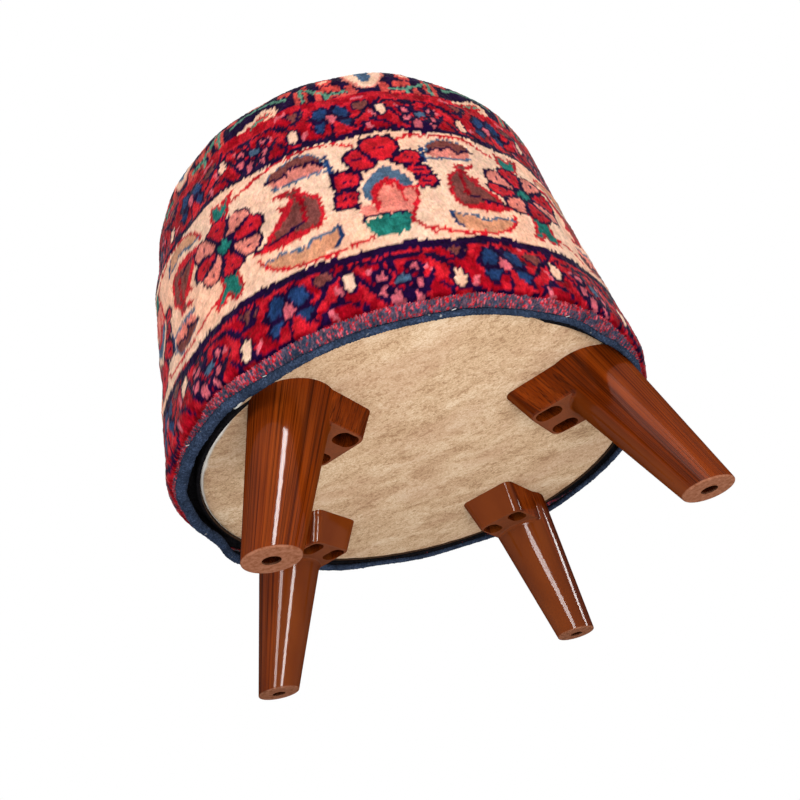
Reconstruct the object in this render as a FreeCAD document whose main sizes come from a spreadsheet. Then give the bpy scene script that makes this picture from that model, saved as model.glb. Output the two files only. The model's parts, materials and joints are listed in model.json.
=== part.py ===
"""A round pouf: a rug-covered drum with a crowned seat on four splayed legs.

Millimetres, +Z up, the floor at z = 0 and the drum's axis on Z. The front is towards -Y. The driving
dimensions are in the sheet named dims, and every sketch, feature and placement is bound to them.
"""
import FreeCAD
import Part
import Sketcher
import os

UP = FreeCAD.Vector(0, 0, 1)
SLACK = 1e-2
LEG_NAMES = ("leg_rear_right", "leg_rear_left", "leg_front_left", "leg_front_right")
LEG_COUNT = str(len(LEG_NAMES))

# Driving dimensions, in millimetres, degrees or counts
DIMENSIONS = {
    "leg_height": 127.0,
    "leg_head_dia": 61.6,
    "leg_foot_dia": 35.4,
    "leg_splay": 42.0,
    "leg_rim_gap": 0.5,
    "leg_first_angle": 45.0,
    "block_tongue": 28.2,
    "block_side_inset": 1.8,
    "block_narrowing": 3.0,
    "block_depth": 26.0,
    "block_end_draft": 11.5,
    "block_side_draft": 4.2,
    "block_corner": 8.0,
    "block_edge": 2.0,
    "block_blend": 4.0,
    "foot_edge": 1.2,
    "well_width": 14.6,
    "well_length": 21.0,
    "well_flat": 1.6,
    "well_side_wall": 2.15,
    "well_end_wall": 2.6,
    "well_web": 8.0,
    "socket_dia": 11.4,
    "socket_depth": 25.0,
    "leg_screw_dia": 4.8,
    "leg_screw_head_dia": 9.0,
    "leg_screw_head_height": 3.2,
    "leg_screw_length": 20.0,
    "board_dia": 366.4,
    "board_thick": 12.0,
    "cover_thick": 1.6,
    "cover_roll": 3.0,
    "cover_turn_in": 12.0,
    "wrap_play": 0.2,
    "post_count": 6,
    "post_length": 226.0,
    "post_depth": 20.0,
    "post_width": 40.0,
    "post_setback": 15.2,
    "post_screw_dia": 4.0,
    "post_screw_head_dia": 8.0,
    "post_screw_head_height": 2.6,
    "post_screw_length": 40.0,
    "drum_thick": 2.5,
    "drum_play": 0.3,
    "pin_count": 12,
    "pin_dia": 1.6,
    "pin_length": 18.0,
    "staple_count": 14,
    "staple_width": 10.0,
    "staple_wire": 1.0,
    "rug_staple_leg": 13.5,
    "rug_staple_rise": 7.0,
    "cover_staple_leg": 8.0,
    "fastener_play": 0.15,
    "soft_play": 0.3,
    "padding_foot": 4.1,
    "padding_head": 1.5,
    "lining_height": 22.0,
    "foam_wall": 2.4,
    "rug_thick": 7.0,
    "rug_drop": 10.0,
    "selvedge_height": 7.0,
    "shoulder_round": 44.0,
    "seat_crown": 12.0,
    "top_seam_width": 3.0,
    "back_seam_angle": 1.2,
    "seam_play": 0.1,
}

# Heights and radii that follow from the driving dimensions
BASE_FACE = "dims.leg_height"
BOARD_FLOOR = f"({BASE_FACE} + dims.cover_thick)"
BOARD_TOP = f"({BOARD_FLOOR} + dims.board_thick)"
BOARD_RADIUS = "(dims.board_dia / 2)"
POST_RING = f"({BOARD_RADIUS} - dims.post_setback - dims.post_depth / 2)"
COVER_INNER = f"({BOARD_RADIUS} + dims.wrap_play)"
COVER_RADIUS = f"({COVER_INNER} + dims.cover_thick)"
COVER_TOP = f"({BOARD_TOP} + dims.cover_thick)"
TURN_IN_RADIUS = f"({COVER_RADIUS} - dims.cover_turn_in)"
TURN_IN_MIDDLE = f"({COVER_RADIUS} - dims.cover_turn_in / 2)"
DRUM_INNER = f"({COVER_RADIUS} + dims.drum_play)"
DRUM_OUTER = f"({DRUM_INNER} + dims.drum_thick)"
TOP_FLOOR = f"({BOARD_TOP} + dims.post_length)"
TOP_FACE = f"({TOP_FLOOR} + dims.board_thick)"
TOP_RADIUS = f"({DRUM_INNER} - dims.drum_play)"
RIM_FLOOR = f"({BASE_FACE} - dims.rug_drop)"
BAND_FLOOR = f"({RIM_FLOOR} + dims.selvedge_height)"
LINING_TOP = f"({BASE_FACE} + dims.lining_height)"
SHOULDER = f"({TOP_FACE} + dims.foam_wall)"
SEAM_TOP = f"({SHOULDER} + dims.shoulder_round)"
SEAM_FLOOR = f"({SEAM_TOP} - dims.rug_thick)"
STAPLE_HEIGHT = f"({BAND_FLOOR} + dims.rug_staple_rise)"
LOWER_PIN_HEIGHT = f"({BOARD_FLOOR} + dims.board_thick / 2)"
UPPER_PIN_HEIGHT = f"({TOP_FLOOR} + dims.board_thick / 2)"
BACK_ANGLE = "(90 + dims.back_seam_angle / 2)"
STAPLE_SWING = "(180 / dims.staple_count - dims.back_seam_angle / 2)"
BLOCK_FLOOR = "(dims.leg_height - dims.block_depth)"
BLOCK_REACH = "(dims.leg_head_dia / 2 + dims.block_tongue)"
BLOCK_OUTER = "(dims.leg_head_dia - 2 * dims.block_side_inset)"
BLOCK_INNER = f"({BLOCK_OUTER} - dims.block_narrowing)"
WELL_TOP = "(dims.leg_height - dims.well_web)"
WELL_CORNER = "((dims.well_width - dims.well_flat) / 2)"
WELL_PITCH = f"({BLOCK_INNER} - 2 * dims.block_side_draft - dims.well_width - 2 * dims.well_side_wall)"
LEG_SCREW_HOLE = "(dims.leg_screw_dia + 2 * dims.fastener_play)"

document = FreeCAD.newDocument("pouf")
sheet = document.addObject("Spreadsheet::Sheet", "dims")
subparts = []


def fill_sheet():
    """Writes each driving dimension to the sheet as a named cell."""
    for row, (alias, number) in enumerate(DIMENSIONS.items(), start=1):
        sheet.set(f"A{row}", alias)
        sheet.set(f"B{row}", str(number))
        sheet.setAlias(f"B{row}", alias)
    document.recompute()


def value(expression):
    """The present value of an expression on the sheet."""
    return float(sheet.evalExpression(expression))


def rug_inner(height):
    """The rug's inner radius at a height on the drum, as an expression."""
    wall = f"({SHOULDER} - {BAND_FLOOR})"
    taper = f"(dims.padding_foot - dims.padding_head) * ({height} - {BAND_FLOOR}) / {wall}"
    return f"({DRUM_OUTER} + 2 * dims.soft_play + dims.padding_foot - {taper})"


def padding_outer(height):
    """The outer radius of what lies inside the rug at a height, as an expression."""
    return f"({rug_inner(height)} - dims.soft_play)"


RIM_INNER = rug_inner(BAND_FLOOR)
RIM_OUTER = f"({RIM_INNER} + dims.rug_thick)"
SEAM_RADIUS = f"({rug_inner(SHOULDER)} + dims.rug_thick - dims.shoulder_round)"
PANEL_RADIUS = f"({SEAM_RADIUS} - dims.top_seam_width)"
CROWN_RADIUS = f"(({PANEL_RADIUS}^2 + dims.seat_crown^2) / (2 * dims.seat_crown))"
LEG_TAPER = "((dims.leg_head_dia - dims.leg_foot_dia) / 2 / dims.leg_height)"
LEG_LEAN = "(dims.leg_splay / dims.leg_height)"
LEG_AT_RIM = f"(dims.leg_head_dia / 2 + dims.rug_drop * ({LEG_LEAN} - {LEG_TAPER}))"
LEG_RING = f"({RIM_INNER} - dims.leg_rim_gap - {LEG_AT_RIM})"
FOOT_RING = f"({LEG_RING} + dims.leg_splay)"
BLOCK_SHIFT = f"({LEG_LEAN} * dims.block_depth)"
WELL_TIP = f"({LEG_RING} - {BLOCK_REACH} + dims.block_end_draft + dims.well_end_wall)"
WELL_RING = f"({WELL_TIP} + dims.well_length / 2)"


def new_body(label, angle="0"):
    """An empty body, turned about Z by the angle's expression."""
    body = document.addObject("PartDesign::Body", label)
    body.Label = label
    body.Placement = FreeCAD.Placement(FreeCAD.Vector(), FreeCAD.Rotation(UP, 1.0))
    body.setExpression("Placement.Rotation.Angle", angle)
    subparts.append(body)
    return body


def origin_feature(body, role):
    """One of the body's own origin planes or axes."""
    return next(item for item in body.Origin.OriginFeatures if item.Role == role)


def new_sketch(body, name, plane, lift="0", swing=None):
    """A sketch on a plane of the body, lifted along its normal and swung about it."""
    sketch = body.newObject("Sketcher::SketchObject", f"{body.Name}_{name}")
    sketch.AttachmentSupport = [(origin_feature(body, plane), "")]
    sketch.MapMode = "FlatFace"
    turn = FreeCAD.Rotation(UP, 1.0 if swing else 0.0)
    sketch.AttachmentOffset = FreeCAD.Placement(FreeCAD.Vector(), turn)
    sketch.setExpression("AttachmentOffset.Base.z", lift)
    if swing:
        sketch.setExpression("AttachmentOffset.Rotation.Angle", swing)
    return sketch


def fix_point(sketch, geometry, point, across, up):
    """Binds one point of a sketch to two expressions."""
    for kind, axis, expression in (("DistanceX", -2, across), ("DistanceY", -1, up)):
        if expression == "0":
            sketch.addConstraint(Sketcher.Constraint("PointOnObject", geometry, point, axis))
            continue
        constraint = Sketcher.Constraint(kind, -1, 1, geometry, point, value(expression))
        sketch.setExpression(f"Constraints[{sketch.addConstraint(constraint)}]", expression)


def arc_between(start, end, radius, turn):
    """The arc of less than a half circle from start to end, anticlockwise if turn is 1."""
    chord = end - start
    rise = (radius**2 - chord.Length**2 / 4) ** 0.5
    side = FreeCAD.Vector(-chord.y, chord.x, 0).normalize()
    centre = start + chord * 0.5 + side * (rise * turn)
    circle = Part.Circle(centre, UP, radius)
    first, last = (start, end) if turn > 0 else (end, start)
    return Part.ArcOfCircle(circle, circle.parameter(first), circle.parameter(last))


def outline(sketch, corners, arcs=None):
    """A closed outline through corners, each a pair of expressions.

    arcs gives the radius and turn of each edge that is an arc, by the number of its first corner.
    """
    arcs = arcs or {}
    places = [FreeCAD.Vector(value(across), value(up), 0) for across, up in corners]
    ends = []
    for index, start in enumerate(places):
        end = places[(index + 1) % len(places)]
        radius, turn = arcs.get(index, (None, 1))
        edge = arc_between(start, end, value(radius), turn) if radius else Part.LineSegment(start, end)
        geometry = sketch.addGeometry(edge, False)
        ends.append((geometry, 1, 2) if turn > 0 else (geometry, 2, 1))
    for index, (geometry, first, last) in enumerate(ends):
        following, joined, _ = ends[(index + 1) % len(ends)]
        sketch.addConstraint(Sketcher.Constraint("Coincident", geometry, last, following, joined))
    for (across, up), (geometry, first, _) in zip(corners, ends):
        fix_point(sketch, geometry, first, across, up)
    for index, (radius, _) in arcs.items():
        geometry = ends[index][0]
        constraint = sketch.addConstraint(Sketcher.Constraint("Radius", geometry, value(radius)))
        sketch.setExpression(f"Constraints[{constraint}]", radius)


def circle(sketch, across, up, diameter):
    """A circle bound to the expressions of its centre and diameter."""
    centre = FreeCAD.Vector(value(across), value(up), 0)
    geometry = sketch.addGeometry(Part.Circle(centre, UP, value(diameter) / 2), False)
    fix_point(sketch, geometry, 3, across, up)
    constraint = sketch.addConstraint(Sketcher.Constraint("Diameter", geometry, value(diameter)))
    sketch.setExpression(f"Constraints[{constraint}]", diameter)


def rectangle(sketch, left, right, low, high):
    """A rectangle bound to the expressions of its four sides."""
    outline(sketch, [(left, low), (right, low), (right, high), (left, high)])


def revolve(body, sketch, angle=None):
    """Turns a profile about Z, all the way round or through an angle."""
    feature = body.newObject("PartDesign::Revolution", f"{sketch.Name}_turned")
    feature.Profile = sketch
    feature.ReferenceAxis = (sketch, ["V_Axis"])
    feature.Angle = 360
    if angle:
        feature.setExpression("Angle", angle)
    document.recompute()
    return feature


def revolve_about(body, sketch, start, end):
    """Turns a profile about a line of its sketch, from start to end, each a pair of expressions."""
    places = [FreeCAD.Vector(value(across), value(up), 0) for across, up in (start, end)]
    line = sketch.addGeometry(Part.LineSegment(*places), True)
    fix_point(sketch, line, 1, *start)
    fix_point(sketch, line, 2, *end)
    feature = body.newObject("PartDesign::Revolution", f"{sketch.Name}_turned")
    feature.Profile = sketch
    feature.ReferenceAxis = (sketch, ["Axis0"])
    feature.Angle = 360
    document.recompute()
    return feature


def pad(body, sketch, length):
    """Raises a sketch along its normal."""
    feature = body.newObject("PartDesign::Pad", f"{sketch.Name}_raised")
    feature.Profile = sketch
    feature.setExpression("Length", length)
    document.recompute()
    return feature


def pocket(body, sketch, length=None, along=False):
    """Cuts a sketch into the body against its normal, or along it, and checks that it did."""
    before = body.Shape.Volume
    feature = body.newObject("PartDesign::Pocket", f"{sketch.Name}_cut")
    feature.Profile = sketch
    feature.Reversed = along
    feature.Type = "Length" if length else "ThroughAll"
    if length:
        feature.setExpression("Length", length)
    document.recompute()
    if not body.Shape.Volume < before:
        raise RuntimeError(f"{sketch.Name} cuts nothing")
    return feature


def repeat(body, features, count):
    """Repeats features about Z by the count's expression."""
    feature = body.newObject("PartDesign::PolarPattern", f"{features[0].Name}_repeated")
    feature.Originals = features
    feature.Axis = (origin_feature(body, "Z_Axis"), [""])
    feature.Angle = 360
    feature.setExpression("Occurrences", count)
    body.Tip = feature
    document.recompute()
    return feature


def loft(body, first, last):
    """A ruled loft between two sketches."""
    feature = body.newObject("PartDesign::AdditiveLoft", f"{first.Name}_lofted")
    feature.Profile = first
    feature.Sections = [last]
    feature.Ruled = True
    document.recompute()
    return feature


def round_edges(body, name, radius, wanted):
    """Rounds each edge of the body that the test wants."""
    edges = [f"Edge{number}" for number, edge in enumerate(body.Shape.Edges, start=1) if wanted(edge)]
    base = body.Tip
    feature = body.newObject("PartDesign::Fillet", f"{body.Name}_{name}")
    feature.Base = (base, edges)
    feature.setExpression("Radius", radius)
    document.recompute()
    return feature


def level(edge, height):
    """True if an edge lies all at one height."""
    return edge.BoundBox.ZLength < SLACK and abs(edge.BoundBox.ZMin - height) < SLACK


def block_outline(sketch, reach, inner, outer, end):
    """A leg block seen along Z: a tongue towards the drum's axis with rounded inner corners."""
    middle = LEG_RING
    corner = "dims.block_corner"
    tip = f"({middle} - {reach})"
    bend = f"({tip} + {corner})"
    flat = f"({inner} / 2 - {corner})"
    corners = [
        (f"({middle} + {end})", f"-{outer} / 2"),
        (f"({middle} + {end})", f"{outer} / 2"),
        (bend, f"{inner} / 2"),
        (tip, flat),
        (tip, f"-{flat}"),
        (bend, f"-{inner} / 2"),
    ]
    outline(sketch, corners, {2: (corner, 1), 4: (corner, 1)})


def well_outline(sketch, middle):
    """A screw well seen along Z: a slot with rounded ends that points towards the drum's axis."""
    left, right = WELL_TIP, f"({WELL_TIP} + dims.well_length)"
    low, high = f"({middle} - dims.well_width / 2)", f"({middle} + dims.well_width / 2)"
    corners = [
        (f"({left} + {WELL_CORNER})", low),
        (f"({right} - {WELL_CORNER})", low),
        (right, f"({low} + {WELL_CORNER})"),
        (right, f"({high} - {WELL_CORNER})"),
        (f"({right} - {WELL_CORNER})", high),
        (f"({left} + {WELL_CORNER})", high),
        (left, f"({high} - {WELL_CORNER})"),
        (left, f"({low} + {WELL_CORNER})"),
    ]
    outline(sketch, corners, {start: (WELL_CORNER, 1) for start in (1, 3, 5, 7)})


def make_leg(label, angle):
    """A tapered round leg that splays outwards, in one piece with its screw block."""
    body = new_body(label, angle)
    head = new_sketch(body, "head", "XY_Plane", "dims.leg_height")
    circle(head, LEG_RING, "0", "dims.leg_head_dia")
    foot = new_sketch(body, "foot", "XY_Plane")
    circle(foot, FOOT_RING, "0", "dims.leg_foot_dia")
    loft(body, head, foot)
    block_top = new_sketch(body, "block_top", "XY_Plane", "dims.leg_height")
    block_outline(block_top, BLOCK_REACH, BLOCK_INNER, BLOCK_OUTER, "0")
    block_floor = new_sketch(body, "block_floor", "XY_Plane", BLOCK_FLOOR)
    block_outline(
        block_floor,
        f"({BLOCK_REACH} - dims.block_end_draft)",
        f"({BLOCK_INNER} - 2 * dims.block_side_draft)",
        f"({BLOCK_OUTER} - 2 * dims.block_side_draft)",
        BLOCK_SHIFT,
    )
    loft(body, block_top, block_floor)
    top = value("dims.leg_height")

    def clear_of_leg(edge):
        """How far the middle of an edge stands out of the round leg, and out from its axis."""
        middle = body.Placement.inverse().multVec(edge.valueAt(sum(edge.ParameterRange) / 2))
        axis = FreeCAD.Vector(value(LEG_RING) + value(LEG_LEAN) * (top - middle.z), 0, middle.z)
        radius = value("dims.leg_head_dia / 2") - value(LEG_TAPER) * (top - middle.z)
        return (middle - axis).Length - radius, middle.x - axis.x

    def on_block_rim(edge):
        """True for the lower edges of the block that stand clear of the round leg."""
        return level(edge, value(BLOCK_FLOOR)) and clear_of_leg(edge)[0] > SLACK

    def on_block_side(edge):
        """True for the two upright edges where the block runs into the round leg."""
        upright = edge.BoundBox.ZMax > top - SLACK and edge.BoundBox.ZLength > SLACK
        gap, outward = clear_of_leg(edge)
        return upright and abs(gap) < SLACK and outward < 0

    round_edges(body, "block_rim", "dims.block_edge", on_block_rim)
    round_edges(body, "block_blend", "dims.block_blend", on_block_side)
    wells = new_sketch(body, "wells", "XY_Plane", WELL_TOP)
    holes = new_sketch(body, "holes", "XY_Plane", "dims.leg_height")
    for side in ("-", ""):
        well_outline(wells, f"{side}{WELL_PITCH} / 2")
        circle(holes, WELL_RING, f"{side}{WELL_PITCH} / 2", LEG_SCREW_HOLE)
    pocket(body, wells)
    pocket(body, holes)
    socket = new_sketch(body, "socket", "XY_Plane", "dims.socket_depth")
    circle(socket, FOOT_RING, "0", "dims.socket_dia")
    pocket(body, socket)
    socket_length = value("pi * dims.socket_dia")

    def on_foot_rim(edge):
        """True for the outer edge of the foot, not the edge of its socket."""
        return level(edge, 0) and edge.Length > socket_length + SLACK

    round_edges(body, "foot_rim", "dims.foot_edge", on_foot_rim)


def screw_profile(sketch, ring, seat, upwards, name):
    """Half a pan-head screw beside its axis, with its head under the seat or over it."""
    sign = "+" if upwards else "-"
    head_sign = "-" if upwards else "+"
    tip = f"({seat} {sign} dims.{name}_length)"
    taper = f"({tip} {head_sign} dims.{name}_dia)"
    crown = f"({seat} {head_sign} dims.{name}_head_height)"
    shank = f"({ring} + dims.{name}_dia / 2)"
    head = f"({ring} + dims.{name}_head_dia / 2)"
    corners = [(ring, crown), (head, crown), (head, seat), (shank, seat), (shank, taper), (ring, tip)]
    outline(sketch, corners if upwards else corners[::-1])
    return (ring, crown), (ring, tip)


def make_leg_screws():
    """Two screws in the wells of each leg, up into the base board."""
    body = new_body("leg_screws", "dims.leg_first_angle")
    turned = []
    for name, side in (("one", "-"), ("two", "")):
        sketch = new_sketch(body, name, "XZ_Plane", f"{side}{WELL_PITCH} / 2")
        axis = screw_profile(sketch, WELL_RING, WELL_TOP, True, "leg_screw")
        turned.append(revolve_about(body, sketch, *axis))
    repeat(body, turned, LEG_COUNT)


def make_post_screws(label, seat, upwards):
    """One screw in one end of each post."""
    body = new_body(label, "180 / dims.post_count")
    sketch = new_sketch(body, "profile", "XZ_Plane")
    axis = screw_profile(sketch, POST_RING, seat, upwards, "post_screw")
    repeat(body, [revolve_about(body, sketch, *axis)], "dims.post_count")


def cut_leg_screw_holes(body, top):
    """Holes for the leg screws through a disc, from its top down."""
    sketch = new_sketch(body, "leg_screw_holes", "XY_Plane", top, "dims.leg_first_angle")
    for side in ("-", ""):
        circle(sketch, WELL_RING, f"{side}{WELL_PITCH} / 2", LEG_SCREW_HOLE)
    repeat(body, [pocket(body, sketch)], LEG_COUNT)


def cut_post_screw_holes(body, top, seat, upwards):
    """Holes for the post screws through a board, with room for their heads."""
    holes = new_sketch(body, "post_screw_holes", "XY_Plane", top, "180 / dims.post_count")
    circle(holes, POST_RING, "0", "(dims.post_screw_dia + 2 * dims.fastener_play)")
    repeat(body, [pocket(body, holes)], "dims.post_count")
    heads = new_sketch(body, "post_screw_heads", "XY_Plane", seat, "180 / dims.post_count")
    circle(heads, POST_RING, "0", "(dims.post_screw_head_dia + 2 * dims.fastener_play)")
    repeat(body, [pocket(body, heads, along=not upwards)], "dims.post_count")


def cut_pin_holes(body, height):
    """Radial holes for the panel pins."""
    sketch = new_sketch(body, f"pin_holes_{len(body.Group)}", "YZ_Plane")
    circle(sketch, "0", height, "(dims.pin_dia + 2 * dims.fastener_play)")
    repeat(body, [pocket(body, sketch, along=True)], "dims.pin_count")


def staple_prongs(width_play):
    """The inner and outer expressions of a prong across the staple's width."""
    outer = f"(dims.staple_width / 2 + {width_play})"
    inner = f"(dims.staple_width / 2 - dims.staple_wire - {width_play})"
    return inner, outer


def cut_rug_staple_holes(body, swing):
    """Slots for the prongs of the rug staples, level and radial."""
    play = "dims.fastener_play"
    lift = f"({STAPLE_HEIGHT} + dims.staple_wire / 2 + {play})"
    sketch = new_sketch(body, "staple_holes", "XY_Plane", lift, swing)
    inner, outer = staple_prongs(play)
    tip = f"({RIM_OUTER} - dims.rug_staple_leg - {play})"
    end = f"({RIM_OUTER} + dims.rug_staple_leg)"
    rectangle(sketch, tip, end, inner, outer)
    rectangle(sketch, tip, end, f"-{outer}", f"-{inner}")
    repeat(body, [pocket(body, sketch, f"dims.staple_wire + 2 * {play}")], "dims.staple_count")


def cut_cover_staple_holes(body):
    """Slots for the prongs of the cover staples, upright in the base board's rim."""
    play = "dims.fastener_play"
    lift = f"({TURN_IN_MIDDLE} - dims.staple_wire / 2 - {play})"
    sketch = new_sketch(body, "cover_staple_holes", "YZ_Plane", lift)
    inner, outer = staple_prongs(play)
    tip = f"({COVER_TOP} - dims.cover_staple_leg - {play})"
    end = f"({COVER_TOP} + dims.cover_staple_leg)"
    rectangle(sketch, inner, outer, tip, end)
    rectangle(sketch, f"-{outer}", f"-{inner}", tip, end)
    cut = pocket(body, sketch, f"dims.staple_wire + 2 * {play}", along=True)
    repeat(body, [cut], "dims.staple_count")


def make_rug_staples():
    """Staples through the rug's lower rim and its lining into the drum."""
    body = new_body("rug_staples", BACK_ANGLE)
    lift = f"({STAPLE_HEIGHT} - dims.staple_wire / 2)"
    sketch = new_sketch(body, "bent_wire", "XY_Plane", lift, STAPLE_SWING)
    inner, outer = staple_prongs("0")
    seat = f"({RIM_OUTER} + dims.fastener_play)"
    back = f"({seat} + dims.staple_wire)"
    tip = f"({RIM_OUTER} - dims.rug_staple_leg)"
    corners = [(tip, inner), (seat, inner), (seat, f"-{inner}"), (tip, f"-{inner}")]
    corners += [(tip, f"-{outer}"), (back, f"-{outer}"), (back, outer), (tip, outer)]
    outline(sketch, corners)
    repeat(body, [pad(body, sketch, "dims.staple_wire")], "dims.staple_count")


def make_cover_staples():
    """Staples through the turned-in edge of the base cover into the base board."""
    body = new_body("cover_staples")
    lift = f"({TURN_IN_MIDDLE} - dims.staple_wire / 2)"
    sketch = new_sketch(body, "bent_wire", "YZ_Plane", lift)
    inner, outer = staple_prongs("0")
    back = f"({COVER_TOP} + dims.staple_wire)"
    tip = f"({COVER_TOP} - dims.cover_staple_leg)"
    corners = [(inner, tip), (outer, tip), (outer, back), (f"-{outer}", back)]
    corners += [(f"-{outer}", tip), (f"-{inner}", tip), (f"-{inner}", COVER_TOP), (inner, COVER_TOP)]
    outline(sketch, corners)
    repeat(body, [pad(body, sketch, "dims.staple_wire")], "dims.staple_count")


def make_pins(label, height):
    """Panel pins through the drum into the edge of a board."""
    body = new_body(label)
    sketch = new_sketch(body, "profile", "XZ_Plane")
    head = f"({DRUM_OUTER} - dims.fastener_play)"
    tip = f"({head} - dims.pin_length)"
    bend = f"({tip} + dims.pin_dia)"
    wall = f"({height} + dims.pin_dia / 2)"
    outline(sketch, [(tip, height), (head, height), (head, wall), (bend, wall)])
    repeat(body, [revolve_about(body, sketch, (tip, height), (head, height))], "dims.pin_count")


def make_base_board():
    """The plywood disc that carries the legs and the posts."""
    body = new_body("base_board")
    sketch = new_sketch(body, "profile", "XZ_Plane")
    bend = f"({BOARD_RADIUS} - dims.cover_roll)"
    rise = f"({BOARD_FLOOR} + dims.cover_roll)"
    corners = [("0", BOARD_FLOOR), (bend, BOARD_FLOOR), (BOARD_RADIUS, rise)]
    corners += [(BOARD_RADIUS, BOARD_TOP), ("0", BOARD_TOP)]
    outline(sketch, corners, {1: ("dims.cover_roll", 1)})
    revolve(body, sketch)
    cut_leg_screw_holes(body, BOARD_TOP)
    cut_post_screw_holes(body, BOARD_TOP, f"({BOARD_FLOOR} + dims.post_screw_head_height)", True)
    cut_pin_holes(body, LOWER_PIN_HEIGHT)
    cut_cover_staple_holes(body)


def make_base_cover():
    """The sheet drawn over the underside of the base board and turned in on top of it."""
    body = new_body("base_cover")
    sketch = new_sketch(body, "profile", "XZ_Plane")
    roll = "(dims.cover_roll + dims.cover_thick)"
    bend = f"({COVER_RADIUS} - {roll})"
    rise = f"({BASE_FACE} + {roll})"
    corners = [("0", BASE_FACE), (bend, BASE_FACE), (COVER_RADIUS, rise), (COVER_RADIUS, COVER_TOP)]
    corners += [(TURN_IN_RADIUS, COVER_TOP), (TURN_IN_RADIUS, BOARD_TOP), (COVER_INNER, BOARD_TOP)]
    corners += [(COVER_INNER, rise), (bend, BOARD_FLOOR), ("0", BOARD_FLOOR)]
    outline(sketch, corners, {1: (roll, 1), 7: ("dims.cover_roll", -1)})
    revolve(body, sketch)
    cut_leg_screw_holes(body, BOARD_FLOOR)
    cut_pin_holes(body, LOWER_PIN_HEIGHT)
    cut_cover_staple_holes(body)


def make_post(label, angle):
    """An upright timber between the boards, with a pilot hole in each end."""
    body = new_body(label, angle)
    section = new_sketch(body, "section", "XY_Plane", BOARD_TOP)
    near = f"({POST_RING} - dims.post_depth / 2)"
    far = f"({POST_RING} + dims.post_depth / 2)"
    rectangle(section, near, far, "-dims.post_width / 2", "dims.post_width / 2")
    pad(body, section, "dims.post_length")
    hole = "(dims.post_screw_dia + 2 * dims.fastener_play)"
    reach = "(dims.post_screw_length - dims.board_thick + dims.post_screw_head_height + dims.fastener_play)"
    low = new_sketch(body, "low_hole", "XY_Plane", BOARD_TOP)
    circle(low, POST_RING, "0", hole)
    pocket(body, low, reach, along=True)
    high = new_sketch(body, "high_hole", "XY_Plane", TOP_FLOOR)
    circle(high, POST_RING, "0", hole)
    pocket(body, high, reach)


def make_top_board():
    """The plywood disc under the seat."""
    body = new_body("top_board")
    sketch = new_sketch(body, "plan", "XY_Plane", TOP_FLOOR)
    circle(sketch, "0", "0", f"2 * {TOP_RADIUS}")
    pad(body, sketch, "dims.board_thick")
    cut_post_screw_holes(body, TOP_FACE, f"({TOP_FACE} - dims.post_screw_head_height)", False)
    cut_pin_holes(body, UPPER_PIN_HEIGHT)


def make_drum_panel():
    """Thin board bent round the edges of the two discs."""
    body = new_body("drum_panel")
    sketch = new_sketch(body, "profile", "XZ_Plane")
    rectangle(sketch, DRUM_INNER, DRUM_OUTER, BASE_FACE, TOP_FACE)
    revolve(body, sketch)
    cut_pin_holes(body, LOWER_PIN_HEIGHT)
    cut_pin_holes(body, UPPER_PIN_HEIGHT)
    cut_rug_staple_holes(body, f"({BACK_ANGLE} + {STAPLE_SWING})")


def make_side_padding():
    """Wadding between the drum and the rug, above the lining."""
    body = new_body("side_padding")
    sketch = new_sketch(body, "profile", "XZ_Plane")
    inner = f"({DRUM_OUTER} + dims.soft_play)"
    corners = [(inner, LINING_TOP), (padding_outer(LINING_TOP), LINING_TOP)]
    corners += [(padding_outer(TOP_FACE), TOP_FACE), (inner, TOP_FACE)]
    outline(sketch, corners)
    revolve(body, sketch)


def make_rim_lining():
    """The black strip inside the rug's lower rim."""
    body = new_body("rim_lining", BACK_ANGLE)
    sketch = new_sketch(body, "profile", "XZ_Plane")
    inner = f"({DRUM_OUTER} + dims.soft_play)"
    corners = [(inner, BASE_FACE), (padding_outer(BASE_FACE), BASE_FACE)]
    corners += [(padding_outer(LINING_TOP), LINING_TOP), (inner, LINING_TOP)]
    outline(sketch, corners)
    revolve(body, sketch)
    cut_rug_staple_holes(body, STAPLE_SWING)


def make_seat_foam():
    """The crowned seat, with a round shoulder that the rug is drawn over."""
    body = new_body("seat_foam")
    sketch = new_sketch(body, "profile", "XZ_Plane")
    side = padding_outer(SHOULDER)
    round_over = f"({side} - {SEAM_RADIUS})"
    edge = f"({SHOULDER} + {round_over})"
    corners = [("0", TOP_FACE), (side, TOP_FACE), (side, SHOULDER), (SEAM_RADIUS, edge)]
    corners += [(PANEL_RADIUS, edge), ("0", f"({edge} + dims.seat_crown)")]
    outline(sketch, corners, {2: (round_over, 1), 4: (CROWN_RADIUS, 1)})
    revolve(body, sketch)


def band_profile(sketch):
    """The rug in section, from its lower rim up the side and over the shoulder to the top seam."""
    outer = f"({rug_inner(SHOULDER)} + dims.rug_thick)"
    corners = [(RIM_INNER, BAND_FLOOR), (RIM_OUTER, BAND_FLOOR), (outer, SHOULDER), (SEAM_RADIUS, SEAM_TOP)]
    corners += [(SEAM_RADIUS, SEAM_FLOOR), (rug_inner(SHOULDER), SHOULDER)]
    inner_round = "(dims.shoulder_round - dims.rug_thick)"
    outline(sketch, corners, {2: ("dims.shoulder_round", 1), 4: (inner_round, -1)})


def make_rug_band():
    """The rug round the side, open by the width of the seam at the back."""
    body = new_body("rug_band", BACK_ANGLE)
    sketch = new_sketch(body, "profile", "XZ_Plane")
    band_profile(sketch)
    revolve(body, sketch, "360 - dims.back_seam_angle")
    cut_rug_staple_holes(body, STAPLE_SWING)


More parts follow.
